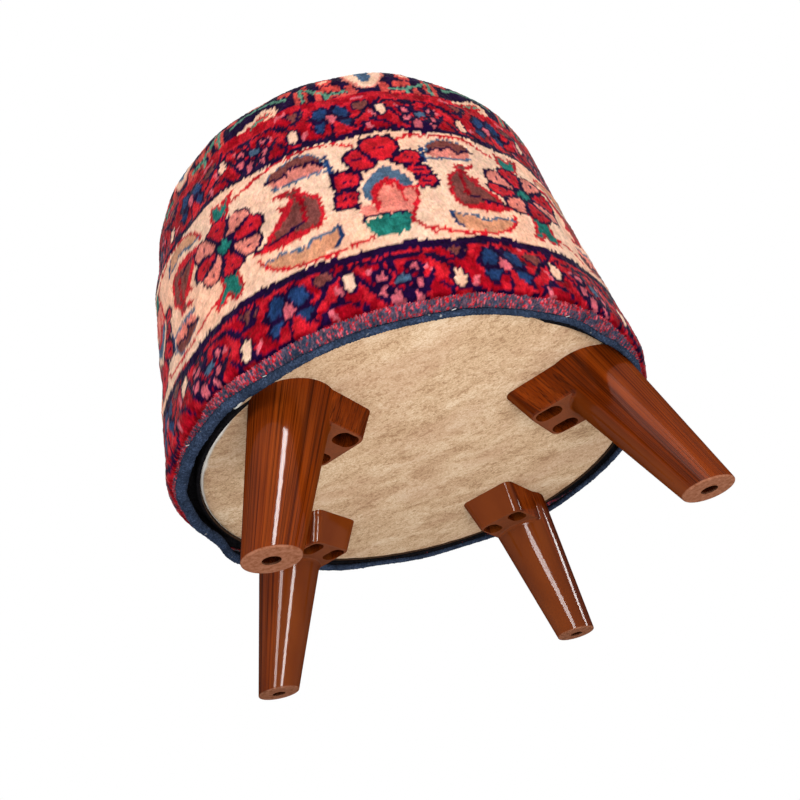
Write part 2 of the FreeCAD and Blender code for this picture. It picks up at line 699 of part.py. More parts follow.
def make_back_seam():
    """The sewn joint between the two ends of the rug band."""
    play = f"(dims.seam_play / {RIM_OUTER} * 180 / pi)"
    body = new_body("back_seam", f"({BACK_ANGLE} - dims.back_seam_angle + {play})")
    sketch = new_sketch(body, "profile", "XZ_Plane")
    band_profile(sketch)
    revolve(body, sketch, f"dims.back_seam_angle - 2 * {play}")


def make_rug_top():
    """The round rug panel of the seat, crowned over the foam."""
    body = new_body("rug_top")
    sketch = new_sketch(body, "profile", "XZ_Plane")
    corners = [(PANEL_RADIUS, SEAM_FLOOR), (PANEL_RADIUS, SEAM_TOP)]
    corners += [("0", f"({SEAM_TOP} + dims.seat_crown)"), ("0", f"({SEAM_FLOOR} + dims.seat_crown)")]
    outline(sketch, corners, {1: (CROWN_RADIUS, 1), 3: (CROWN_RADIUS, -1)})
    revolve(body, sketch)


def make_top_seam():
    """The sewn bead between the band and the top panel, round on top."""
    body = new_body("top_seam")
    sketch = new_sketch(body, "profile", "XZ_Plane")
    inner = f"({PANEL_RADIUS} + dims.seam_play)"
    outer = f"({SEAM_RADIUS} - dims.seam_play)"
    bead = "(dims.top_seam_width / 2)"
    corners = [(inner, SEAM_FLOOR), (outer, SEAM_FLOOR), (outer, SEAM_TOP), (inner, SEAM_TOP)]
    outline(sketch, corners, {2: (bead, 1)})
    revolve(body, sketch)


def make_selvedge():
    """The overcast edge under the rug's lower rim, round below."""
    body = new_body("selvedge")
    sketch = new_sketch(body, "profile", "XZ_Plane")
    half = "(dims.rug_thick / 2)"
    bend = f"({RIM_FLOOR} + {half})"
    corners = [(RIM_INNER, bend), (f"({RIM_INNER} + {half})", RIM_FLOOR), (RIM_OUTER, bend)]
    corners += [(RIM_OUTER, BAND_FLOOR), (RIM_INNER, BAND_FLOOR)]
    outline(sketch, corners, {0: (half, 1), 1: (half, 1)})
    revolve(body, sketch)


def make_all():
    """Every sub-part of the pouf."""
    for number, label in enumerate(LEG_NAMES):
        make_leg(label, f"(dims.leg_first_angle + {number} * 360 / {LEG_COUNT})")
    make_leg_screws()
    make_base_board()
    make_base_cover()
    make_cover_staples()
    for number in range(int(value("dims.post_count"))):
        make_post(f"frame_post_{number + 1}", f"({number} + 0.5) * 360 / dims.post_count")
    make_post_screws("post_screws_lower", f"({BOARD_FLOOR} + dims.post_screw_head_height)", True)
    make_post_screws("post_screws_upper", f"({TOP_FACE} - dims.post_screw_head_height)", False)
    make_top_board()
    make_drum_panel()
    make_pins("drum_pins_lower", LOWER_PIN_HEIGHT)
    make_pins("drum_pins_upper", UPPER_PIN_HEIGHT)
    make_side_padding()
    make_rim_lining()
    make_seat_foam()
    make_rug_band()
    make_back_seam()
    make_rug_top()
    make_top_seam()
    make_selvedge()
    make_rug_staples()


def check_and_write():
    """Stops at any failed object or bad shape, then writes each sub-part's file."""
    for item in document.Objects:
        if "Invalid" in item.State or "Error" in item.State:
            raise RuntimeError(f"{item.Name} failed: {item.State}")
    for body in subparts:
        if body.Shape.isNull() or not body.Shape.isValid() or not body.Shape.Solids:
            raise RuntimeError(f"{body.Label} has no valid shape")
    os.makedirs("parts", exist_ok=True)
    for body in subparts:
        print(f"{body.Label}: {len(body.Shape.Solids)} solids, {body.Shape.Volume:.1f} cubic mm")
        body.Shape.exportStep(f"parts/{body.Label}.step")


fill_sheet()
make_all()
document.recompute()
check_and_write()
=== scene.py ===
"""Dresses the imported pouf: rug, base panel, lining, seams, staples, wood-print legs and the frame inside.

Lengths in the classes are millimetres, as in the part's source. Meshes are in metres, in the shared frame.
"""
from __future__ import annotations

import json
import logging
import math
from dataclasses import dataclass, field
from enum import Enum
from functools import partial
from typing import Any, Iterable, Sequence, Union

import bpy
import numpy as np
from mathutils import Matrix, Vector

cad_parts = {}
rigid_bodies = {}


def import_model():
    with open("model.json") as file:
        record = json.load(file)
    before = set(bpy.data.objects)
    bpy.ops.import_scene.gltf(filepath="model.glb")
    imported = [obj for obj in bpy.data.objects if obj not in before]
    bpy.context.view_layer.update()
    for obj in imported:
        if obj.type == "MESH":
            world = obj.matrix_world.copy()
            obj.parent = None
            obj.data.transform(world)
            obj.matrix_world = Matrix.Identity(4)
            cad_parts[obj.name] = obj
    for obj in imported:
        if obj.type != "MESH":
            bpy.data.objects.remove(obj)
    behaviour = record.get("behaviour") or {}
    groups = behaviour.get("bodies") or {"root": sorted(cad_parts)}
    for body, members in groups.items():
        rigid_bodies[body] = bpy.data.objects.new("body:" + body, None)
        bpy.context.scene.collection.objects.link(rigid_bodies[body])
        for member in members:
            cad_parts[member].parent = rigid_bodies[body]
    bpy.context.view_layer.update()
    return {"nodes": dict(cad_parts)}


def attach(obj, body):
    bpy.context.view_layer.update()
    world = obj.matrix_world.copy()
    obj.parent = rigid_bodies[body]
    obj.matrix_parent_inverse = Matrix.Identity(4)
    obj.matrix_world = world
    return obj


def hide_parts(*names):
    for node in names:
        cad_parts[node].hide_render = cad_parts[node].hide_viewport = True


LOG = logging.getLogger("pouf")
MM = 0.001
BODY = "root"
FULL_TURN = 2 * math.pi
BACK = math.pi / 2
OPENNESS_SAMPLES = 6
WIRE_SIDES = 6
YARN_STEPS = 4
LEG_ANGLES = {
    "leg_rear_right": 45.0,
    "leg_rear_left": 135.0,
    "leg_front_left": 225.0,
    "leg_front_right": 315.0,
}
Array = np.ndarray
Material = bpy.types.Material
Piece = bpy.types.Object
Place = tuple[float, float]
Points = Sequence[Place]


def linear(red: float, green: float, blue: float) -> tuple[float, float, float, float]:
    """Turns an sRGB colour from 0 to 255 into a linear colour.

    Args:
        red: Red share.
        green: Green share.
        blue: Blue share.

    Returns:
        Linear red, green and blue, and an alpha of 1.
    """
    shares = [value / 255 for value in (red, green, blue)]
    bent = [share / 12.92 if share <= 0.04045 else ((share + 0.055) / 1.055) ** 2.4 for share in shares]
    return bent[0], bent[1], bent[2], 1.0


class Dye(Enum):
    """The rug's wool colours, in sRGB."""

    RED = (198, 30, 44)
    CRIMSON = (158, 10, 28)
    CORAL = (208, 76, 70)
    PINK = (214, 100, 114)
    SALMON = (226, 132, 118)
    CREAM = (244, 199, 171)
    TAN = (208, 150, 116)
    NAVY = (30, 10, 50)
    BLUE = (34, 60, 104)
    STEEL = (76, 104, 132)
    TEAL = (34, 116, 106)
    SAGE = (96, 150, 128)
    BROWN = (124, 66, 62)
    MAROON = (66, 14, 32)
    MAUVE = (96, 78, 96)
    DENIM = (50, 62, 84)


class Field:
    """A node's output, with arithmetic that adds Math nodes."""

    def __init__(self, nodes: Nodes, socket: bpy.types.NodeSocket) -> None:
        """Keeps the output and the tree that it belongs to."""
        self.nodes = nodes
        self.socket = socket

    def beside(self, name: str) -> Field:
        """Another output of the same node."""
        return Field(self.nodes, self.socket.node.outputs[name])

    def _math(self, operation: str, first: Any, second: Any) -> Field:
        """Adds a Math node on two values or fields."""
        return self.nodes.add("ShaderNodeMath", {"operation": operation}, {0: first, 1: second})

    def __add__(self, other: Any) -> Field:
        """Adds a value or field."""
        return self._math("ADD", self, other)

    __radd__ = __add__

    def __mul__(self, other: Any) -> Field:
        """Multiplies by a value or field."""
        return self._math("MULTIPLY", self, other)

    __rmul__ = __mul__

    def __sub__(self, other: Any) -> Field:
        """Takes a value or field away."""
        return self._math("SUBTRACT", self, other)

    def __rsub__(self, other: Any) -> Field:
        """Takes this field away from a value."""
        return self._math("SUBTRACT", other, self)

    def __truediv__(self, other: Any) -> Field:
        """Divides by a value or field."""
        return self._math("DIVIDE", self, other)

    def __rtruediv__(self, other: Any) -> Field:
        """Divides a value by this field."""
        return self._math("DIVIDE", other, self)

    def __pow__(self, other: Any) -> Field:
        """Raises to a power."""
        return self._math("POWER", self, other)

    def __abs__(self) -> Field:
        """The size of the field without its sign."""
        return self._math("ABSOLUTE", self, 0.0)

    def larger(self, other: Any) -> Field:
        """The larger of this and another value."""
        return self._math("MAXIMUM", self, other)

    def between(self, low: float, high: float, start: float = 0.0, end: float = 1.0) -> Field:
        """Maps a range of the field smoothly to another range.

        Args:
            low: Where the field's range starts.
            high: Where the field's range ends.
            start: The result at low.
            end: The result at high.

        Returns:
            The mapped field, kept inside start and end.
        """
        settings = {"interpolation_type": "SMOOTHSTEP"}
        values = {"Value": self, "From Min": low, "From Max": high, "To Min": start, "To Max": end}
        return self.nodes.add("ShaderNodeMapRange", settings, values)


Value = Union[Field, float, tuple]


class Nodes:
    """A node tree, and the one way to add a node to it."""

    def __init__(self, tree: bpy.types.NodeTree) -> None:
        """Keeps the tree."""
        self.tree = tree

    def find(self, kind: str) -> bpy.types.Node:
        """The tree's own node of a kind."""
        return next(node for node in self.tree.nodes if node.type == kind)

    def add(
        self, kind: str, settings: dict | None = None, values: dict | None = None, output: Any = 0
    ) -> Field:
        """Adds a node.

        Args:
            kind: The node's type.
            settings: Its settings, which are set first. A ramp takes its stops here.
            values: The values or links of its sockets, by name or number.
            output: The name or number of the output that is wanted.

        Returns:
            The output as a field.
        """
        node = self.tree.nodes.new(kind)
        for name, setting in (settings or {}).items():
            if name == "stops":
                self._set_stops(node.color_ramp, setting)
            else:
                setattr(node, name, setting)
        for name, value in (values or {}).items():
            self.feed(node.inputs[name], value)
        return Field(self, node.outputs[output])

    def _set_stops(self, ramp: bpy.types.ColorRamp, stops: Sequence[tuple]) -> None:
        """Gives a ramp its stops.

        Args:
            ramp: The ramp.
            stops: A place from 0 to 1 and a linear colour for each stop.
        """
        while len(ramp.elements) < len(stops):
            ramp.elements.new(1.0)
        for element, (place, colour) in zip(ramp.elements, stops):
            element.position = place
            element.color = colour

    def feed(self, socket: bpy.types.NodeSocket, value: Value) -> None:
        """Links a field to a socket, or sets its value.

        Args:
            socket: The socket.
            value: The field, or the number, vector or colour.
        """
        if isinstance(value, Field):
            self.tree.links.new(value.socket, socket)
        else:
            socket.default_value = value


class Shader(Nodes):
    """A material with one Principled surface, and the nodes that feed it."""

    def __init__(self, name: str, fixed: dict[str, Any] | None = None) -> None:
        """Makes the material.

        Args:
            name: The material's name.
            fixed: Values that are the same all over, by the surface's socket names.
        """
        self.material = bpy.data.materials.new(name)
        self.material.use_nodes = True
        super().__init__(self.material.node_tree)
        self.surface = self.find("BSDF_PRINCIPLED")
        for socket, value in (fixed or {}).items():
            self.surface.inputs[socket].default_value = value

    def link(self, **feeds: Field) -> Material:
        """Feeds the surface.

        Args:
            feeds: Fields by socket name, with an underscore for each space.

        Returns:
            The finished material.
        """
        for name, value in feeds.items():
            self.feed(self.surface.inputs[name.replace("_", " ")], value)
        return self.material

    def place(self, stretch: Sequence[float] = (1, 1, 1), turn: float = 0.0) -> Field:
        """The point on the object in metres, turned about Z and then stretched.

        Args:
            stretch: Factors along X, Y and Z.
            turn: Degrees about Z.

        Returns:
            The point as a field.
        """
        point = self.add("ShaderNodeTexCoord", output="Object")
        settings = {"vector_type": "POINT"}
        turned = {"Vector": point, "Rotation": (0, 0, math.radians(turn))}
        point = self.add("ShaderNodeMapping", settings, turned)
        return self.add("ShaderNodeVectorMath", {"operation": "MULTIPLY"}, {0: point, 1: tuple(stretch)})

    def noise(
        self, point: Field, scale: float, detail: float = 3.0, rough: float = 0.55, warp: float = 0.0
    ) -> Field:
        """Cloudy noise from 0 to 1 at a point, where the scale is how many clouds lie on a metre."""
        values = {"Vector": point, "Scale": scale, "Detail": detail, "Roughness": rough, "Distortion": warp}
        return self.add("ShaderNodeTexNoise", {"noise_dimensions": "3D"}, values, "Fac")

    def split(self, point: Field) -> tuple[Field, Field, Field]:
        """The X, Y and Z of a point."""
        across = self.add("ShaderNodeSeparateXYZ", None, {"Vector": point}, "X")
        return across, across.beside("Y"), across.beside("Z")

    def facing(self, direction: Sequence[float]) -> Field:
        """How far the surface faces a direction.

        Args:
            direction: A direction of length 1.

        Returns:
            Values from -1 to 1.
        """
        normal = self.add("ShaderNodeTexCoord", output="Normal")
        values = {0: normal, 1: tuple(direction)}
        return self.add("ShaderNodeVectorMath", {"operation": "DOT_PRODUCT"}, values, "Value")

    def openness(self, reach: float, own: bool) -> Field:
        """How open a point is to all walls or its own in reach: 0 in a corner, 1 on a free face."""
        settings = {"samples": OPENNESS_SAMPLES, "only_local": own}
        return self.add("ShaderNodeAmbientOcclusion", settings, {"Distance": reach}, "AO")

    def ramp(self, factor: Field, *stops: tuple[float, tuple]) -> Field:
        """A colour from stops along a factor."""
        return self.add("ShaderNodeValToRGB", {"stops": stops}, {"Fac": factor}, "Color")

    def mix(self, factor: Value, first: Value, second: Value, blend: str = "MIX") -> Field:
        """Blends two colours, with the factor as the share of the second."""
        settings = {"data_type": "RGBA", "blend_type": blend, "clamp_factor": True}
        return self.add("ShaderNodeMix", settings, {0: factor, 6: first, 7: second}, 2)

    def tint(self, colour: Value, shade: Field) -> Field:
        """Multiplies a colour by a field."""
        grey = self.add("ShaderNodeCombineColor", None, {"Red": shade, "Green": shade, "Blue": shade})
        return self.mix(1.0, colour, grey, "MULTIPLY")

    def bump(self, height: Field, strength: float, depth: float) -> Field:
        """A normal that is bent by a height, with the depth in metres."""
        values = {"Height": height, "Strength": strength, "Distance": depth}
        return self.add("ShaderNodeBump", None, values, "Normal")


@dataclass(frozen=True)
class WoolPile:
    """Knotted wool whose knots carry their own dye."""

    name: str = "wool_pile"
    attribute: str = "dye"
    fibre_scale: float = 820.0
    tuft_scale: float = 330.0
    clump_scale: float = 115.0
    fade_scale: float = 16.0
    depth: float = 0.0018
    pale_share: float = 0.55
    sheen: float = 0.1
    sheen_roughness: float = 0.3
    warmth: tuple[float, float, float, float] = (1.0, 0.87, 0.82, 1.0)

    def make(self) -> Material:
        """Builds the material.

        Returns:
            The material.
        """
        fixed = {
            "Specular IOR Level": 0.0,
            "Sheen Weight": self.sheen,
            "Sheen Roughness": self.sheen_roughness,
        }
        shader = Shader(self.name, fixed)
        dye = shader.add("ShaderNodeAttribute", {"attribute_name": self.attribute}, None, "Color")
        fibre = shader.noise(shader.place((1, 1, 0.4)), self.fibre_scale, 2.0, 0.6)
        tuft = shader.noise(shader.place((1, 1, 0.7)), self.tuft_scale, 2.0, 0.6)
        clump = shader.noise(shader.place((1, 1, 0.6)), self.clump_scale, 3.0, 0.5)
        fade = shader.noise(shader.place(), self.fade_scale, 3.0, 0.5)
        fine = fibre.between(0.3, 0.7, 0.8, 1.16) * tuft.between(0.32, 0.68, 0.78, 1.14)
        broad = clump.between(0.3, 0.7, 0.66, 1.16) * fade.between(0.25, 0.75, 0.84, 1.12)
        paleness = shader.add("ShaderNodeRGBToBW", None, {"Color": dye})
        share = paleness.between(0.1, 0.55, 1.0, self.pale_share)
        shade = fine * broad * share + (1.0 - share)
        colour = shader.mix(fade.between(0.42, 0.62), shader.tint(dye, shade), self.warmth, "MULTIPLY")
        return shader.link(
            Base_Color=colour,
            Roughness=tuft.between(0.3, 0.7, 0.98, 0.82),
            Normal=shader.bump(fibre * 0.4 + tuft * 0.6 + clump * 1.8, 0.5, self.depth),
        )


@dataclass(frozen=True)
class WoundWool:
    """Wool yarn wound or sewn over an edge, with a little pale lint on it."""

    name: str
    colour: tuple[int, int, int]
    strand_scale: float = 700.0
    patch_scale: float = 60.0
    lint_scale: float = 230.0
    lint_share: float = 0.45
    lint_colour: tuple[int, int, int] = (200, 196, 190)
    relief: float = 0.0008

    def make(self) -> Material:
        """Builds the material.

        Returns:
            The material.
        """
        shader = Shader(self.name, {"Specular IOR Level": 0.0})
        strand = shader.noise(shader.place(), self.strand_scale, 3.0, 0.6, 0.6)
        patch = shader.noise(shader.place(), self.patch_scale, 3.0, 0.6)
        dark = linear(*[value * 0.62 for value in self.colour])
        pale = linear(*[min(255, value * 1.35 + 14) for value in self.colour])
        colour = shader.ramp(strand, (0.28, dark), (0.52, linear(*self.colour)), (0.78, pale))
        colour = shader.tint(colour, patch.between(0.3, 0.7, 0.62, 1.16))
        lint = shader.noise(shader.place(), self.lint_scale, 1.0, 0.4).between(0.74, 0.8)
        return shader.link(
            Base_Color=shader.mix(lint * self.lint_share, colour, linear(*self.lint_colour)),
            Roughness=strand.between(0.3, 0.7, 0.95, 0.8),
            Normal=shader.bump(strand, 0.7, self.relief),
        )


@dataclass(frozen=True)
class SuedeSheet:
    """Beige sheet with a short, crinkled nap, a painted highlight on its rolled edge at the left, and
    painted shade where other pieces close it in.
    """

    name: str = "suede_sheet"
    face: float = 127.0
    slant: float = 33.0
    stretch: tuple[float, float, float] = (0.6, 1.0, 1.0)
    cloud_scale: float = 40.0
    flake_scale: float = 230.0
    crease_scale: float = 140.0
    grain_scale: float = 760.0
    blush_scale: float = 26.0
    blush_colour: tuple[int, int, int] = (198, 152, 124)
    edge_highlight_colour: tuple[int, int, int] = (255, 252, 244)
    painted_shade_reach: float = 0.04
    relief: float = 0.0012

    def make(self) -> Material:
        """Builds the material.

        Returns:
            The material.
        """
        shader = Shader(self.name, {"Specular IOR Level": 0.0})
        slant = shader.place(self.stretch, self.slant)
        cloud = shader.noise(slant, self.cloud_scale, 3.0, 0.55, 0.6)
        flake = shader.noise(slant, self.flake_scale, 5.0, 0.7, 1.2)
        crease = shader.noise(slant, self.crease_scale, 3.0, 0.6, 1.6)
        grain = shader.noise(shader.place(), self.grain_scale, 2.0, 0.65)
        wisp = abs(flake - 0.5).between(0.045, 0.0)
        fold = abs(crease - 0.5).between(0.03, 0.0)
        nap = cloud * 0.3 + flake * 0.36 + grain * 0.3 + wisp * 0.045 - fold * 0.04
        colour = shader.ramp(
            nap,
            (0.38, linear(172, 134, 101)),
            (0.455, linear(204, 168, 132)),
            (0.515, linear(223, 190, 154)),
            (0.6, linear(243, 218, 187)),
        )
        blush = shader.noise(slant, self.blush_scale, 2.0, 0.5)
        colour = shader.mix(blush.between(0.46, 0.7, 0.0, 0.25), colour, linear(*self.blush_colour))
        across, _, upward = shader.split(shader.place())
        # Painted highlight: the rolled edge is mixed towards near white at the left only, as if light
        # caught it there.
        edge = (upward - self.face * MM).between(0.0003, 0.0013) * across.between(-0.04, -0.1)
        colour = shader.mix(edge * 0.9, colour, linear(*self.edge_highlight_colour))
        # Painted shade: the colour darkens where other pieces close the sheet in, near the legs and the
        # rim, except on the painted highlight of the edge.
        painted_corner_shade = shader.openness(self.painted_shade_reach, False).between(0.25, 0.95, 0.72, 1.0)
        return shader.link(
            Base_Color=shader.tint(colour, painted_corner_shade.larger(edge)),
            Roughness=flake.between(0.35, 0.65, 0.8, 0.62),
            Normal=shader.bump(flake * 0.7 + grain * 0.5 + cloud, 0.4, self.relief),
        )


@dataclass(frozen=True)
class WoodPrint:
    """Glossy moulding with a printed wood grain that runs along one leg, plain on its inner side, with
    painted shade in its screw wells.
    """

    name: str
    angle: float
    lean: float = 42.0 / 127.0
    head: float = 127.0
    ring: float = 158.92
    run: float = 0.006
    foot_radius: float = 17.7
    head_radius: float = 30.8
    print_radius: float = 25.0
    wide_scale: float = 110.0
    fine_scale: float = 400.0
    thin_scale: float = 900.0
    hair_scale: float = 1300.0
    recess_shade_reach: float = 0.016
    gloss: float = 0.17
    grazing_gloss: float = 0.12

    def make(self) -> Material:
        """Builds the material.

        Returns:
            The material.
        """
        shader = Shader(self.name, {"Specular IOR Level": 0.0, "Coat Roughness": 0.08})
        outward, sideways, upward = shader.split(shader.place((1, 1, 1), -self.angle))
        radial = outward - (self.head * MM - upward) * self.lean - self.ring * MM
        taper = (self.head_radius - self.foot_radius) / self.head
        scale = self.print_radius * MM / (upward * taper + self.foot_radius * MM)
        values = {"X": radial * scale, "Y": sideways * scale, "Z": upward * self.run}
        straight = shader.add("ShaderNodeCombineXYZ", None, values)
        cloud = shader.noise(shader.place((1, 1, 0.3)), 30.0, 2.0)
        bearing = math.radians(self.angle)
        inward = shader.facing((-math.cos(bearing), -math.sin(bearing), 0.0))
        plain = shader.ramp(cloud, (0.3, linear(104, 44, 11)), (0.7, linear(122, 56, 16)))
        colour = shader.mix(inward.between(0.3, 0.62), self._grain(shader, straight, cloud), plain)
        scuff = shader.noise(shader.place(), 300.0, 4.0, 0.7)
        downward = shader.facing((0.0, 0.0, -1.0)).between(0.8, 0.95)
        colour = shader.mix(downward * 0.7, colour, linear(122, 70, 46))
        foot = upward.between(0.0016, 0.0006)
        worn = shader.ramp(scuff, (0.35, linear(124, 74, 50)), (0.65, linear(156, 104, 80)))
        colour = shader.mix(foot, colour, worn)
        # Painted shade: the screw wells and other closed-in spots of the leg are darkened, to near black
        # deep inside.
        painted_recess_shade = shader.openness(self.recess_shade_reach, True).between(0.42, 0.88, 0.07, 1.0)
        slope = shader.add("ShaderNodeLayerWeight", None, {"Blend": 0.5}, "Facing")
        lacquer = slope.between(0.3, 0.74, self.gloss, self.gloss * self.grazing_gloss)
        return shader.link(
            Base_Color=shader.tint(colour, painted_recess_shade),
            Coat_Weight=lacquer * (1.0 - foot.larger(downward * 0.6)),
            Roughness=foot * 0.4 + downward * 0.12 + scuff.between(0.5, 0.8, 0.08, 0.16),
            Normal=shader.bump(shader.noise(shader.place(), 55.0, 2.0), 0.04, 0.002),
        )

    def _grain(self, shader: Shader, straight: Field, cloud: Field) -> Field:
        """The printed grain: broad bands, thin dark lines and hairs.

        Args:
            shader: The material's nodes.
            straight: The point on a leg that is drawn out straight and even.
            cloud: Soft patches.

        Returns:
            The colour.
        """
        wide = shader.noise(straight, self.wide_scale, 2.0, 0.5)
        fine = shader.noise(straight, self.fine_scale, 2.0, 0.5)
        thin = shader.noise(straight, self.thin_scale, 2.0, 0.5)
        hair = shader.noise(straight, self.hair_scale, 2.0, 0.5)
        colour = shader.ramp(
            wide * 0.6 + cloud * 0.4,
            (0.38, linear(96, 34, 4)),
            (0.5, linear(118, 45, 6)),
            (0.62, linear(138, 58, 12)),
        )
        colour = shader.mix(wide.between(0.48, 0.36) * 0.45, colour, linear(70, 25, 5))
        line = abs(fine - 0.5).between(0.05, 0.012).larger(abs(thin - 0.5).between(0.04, 0.01) * 0.7)
        colour = shader.mix(line * hair.between(0.4, 0.6, 0.4, 0.8), colour, linear(44, 15, 4))
        return shader.mix(hair.between(0.46, 0.36) * 0.35, colour, linear(64, 23, 6))


@dataclass(frozen=True)
class PlainGrain:
    """A quiet finish for pieces inside: cloudy colour, stretched grain and a little relief."""

    name: str
    dark: tuple[int, int, int]
    pale: tuple[int, int, int]
    stretch: tuple[float, float, float] = (1.0, 1.0, 1.0)
    scale: float = 120.0
    rough: float = 0.8
    metal: float = 0.0
    relief: float = 0.0006
    gloss: float = 0.08

    def make(self) -> Material:
        """Builds the material.

        Returns:
            The material.
        """
        shader = Shader(self.name, {"Metallic": self.metal, "Specular IOR Level": self.gloss})
        grain = shader.noise(shader.place(self.stretch), self.scale, 4.0, 0.6, 0.3)
        speck = shader.noise(shader.place(), self.scale * 5, 2.0, 0.5)
        blend = grain * 0.7 + speck * 0.3
        return shader.link(
            Base_Color=shader.ramp(blend, (0.35, linear(*self.dark)), (0.65, linear(*self.pale))),
            Roughness=grain.between(0.3, 0.7, self.rough, self.rough * 0.85),
            Normal=shader.bump(grain + speck * 0.4, 0.5, self.relief),
        )


@dataclass(frozen=True)
class BareMetal(PlainGrain):
    """Bright metal with hardly any relief."""

    rough: float = 0.3
    metal: float = 1.0
    relief: float = 0.0001


def mesh_piece(name: str, points: Array, faces: Iterable[Sequence[int]], finish: Material) -> Piece:
    """Makes a smooth mesh object that rides on the body.

    Args:
        name: The piece's name.
        points: Its points in millimetres.
        faces: Its faces, as numbers of points.
        finish: Its material.

    Returns:
        The object.
    """
    mesh = bpy.data.meshes.new(name)
    mesh.from_pydata((points * MM).tolist(), [], [list(face) for face in faces])
    mesh.update()
    mesh.polygons.foreach_set("use_smooth", np.ones(len(mesh.polygons), bool))
    mesh.materials.append(finish)
    piece = bpy.data.objects.new(name, mesh)
    bpy.context.scene.collection.objects.link(piece)
    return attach(piece, BODY)


def grid_faces(rows: int, columns: int, closed: bool, start: int = 0) -> Array:
    """Quads of a grid of points.

    Args:
        rows: Rows of points.
        columns: Points in a row.
        closed: Whether each row joins its own start.
        start: The number of the first point.

    Returns:
        Four point numbers for each quad.
    """
    across = np.arange(columns if closed else columns - 1)
    lower = np.arange(rows - 1)[:, None] * columns
    after = (across + 1) % columns
    upper = lower + columns
    quads = np.stack([lower + across, lower + after, upper + after, upper + across], axis=-1)
    return quads.reshape(-1, 4) + start


def outward_of(angle: Array) -> Array:
    """Level directions away from the axis at angles."""
    return np.stack([np.cos(angle), np.sin(angle), np.zeros(len(angle))], axis=1)


def wires(lines: Iterable[tuple[Array, Array, Array]], radius: float) -> tuple[Array, list[list[int]]]:
    """Closed wires along lines.

    Args:
        lines: For each wire the points of its middle, and two directions across it at each point.
        radius: Their radius.

    Returns:
        All their points and faces.
    """
    spin = (FULL_TURN * np.arange(WIRE_SIDES) / WIRE_SIDES)[None, :, None]
    points, faces = [], []
    for middle, outward, upward in lines:
        start = len(points) * len(middle) * WIRE_SIDES
        ring = np.cos(spin) * outward[:, None] + np.sin(spin) * upward[:, None]
        points.append((middle[:, None] + radius * ring).reshape(-1, 3))
        first = list(range(start, start + WIRE_SIDES))
        last = [number + (len(middle) - 1) * WIRE_SIDES for number in first[::-1]]
        faces += [*grid_faces(len(middle), WIRE_SIDES, True, start)[:, ::-1].tolist(), first, last]
    return np.concatenate(points), faces


def ease(share: Array) -> Array:
    """Smooths a share between 0 and 1."""
    kept = np.clip(share, 0, 1)
    return kept * kept * (3 - 2 * kept)


def short_way(difference: Array, turn: float) -> Array:
    """Brings differences on a circle within half a turn of zero."""
    return (difference + turn / 2) % turn - turn / 2


def paint_points(piece: Piece, colours: Array, attribute: str = "dye") -> None:
    """Stores a linear colour on each point, so that neighbouring knots run into each other.

    Args:
        piece: The mesh object.
        colours: Red, green and blue of each point.
        attribute: The name that the material reads.
    """
    layer = piece.data.attributes.new(attribute, "FLOAT_COLOR", "POINT")
    full = np.ones((len(colours), 4), np.float32)
    full[:, :3] = colours
    layer.data.foreach_set("color", full.ravel())


def lumps(rng: np.random.Generator, angle: Array, height: Array, turns: int, count: int) -> Array:
    """Gentle unevenness that closes round the drum.

    Args:
        rng: The seeded source of phases.
        angle: Angles in radians.
        height: Heights in millimetres.
        turns: The most waves round the drum.
        count: How many waves are added up.

    Returns:
        Values of about one either way.
    """
    total = np.zeros(np.broadcast(angle, height).shape)
    for _ in range(count):
        wave = rng.integers(2, turns)
        slope = rng.normal(0, turns / 200.0)
        total += np.sin(wave * angle + slope * height + rng.uniform(0, FULL_TURN))
    return total / math.sqrt(count)


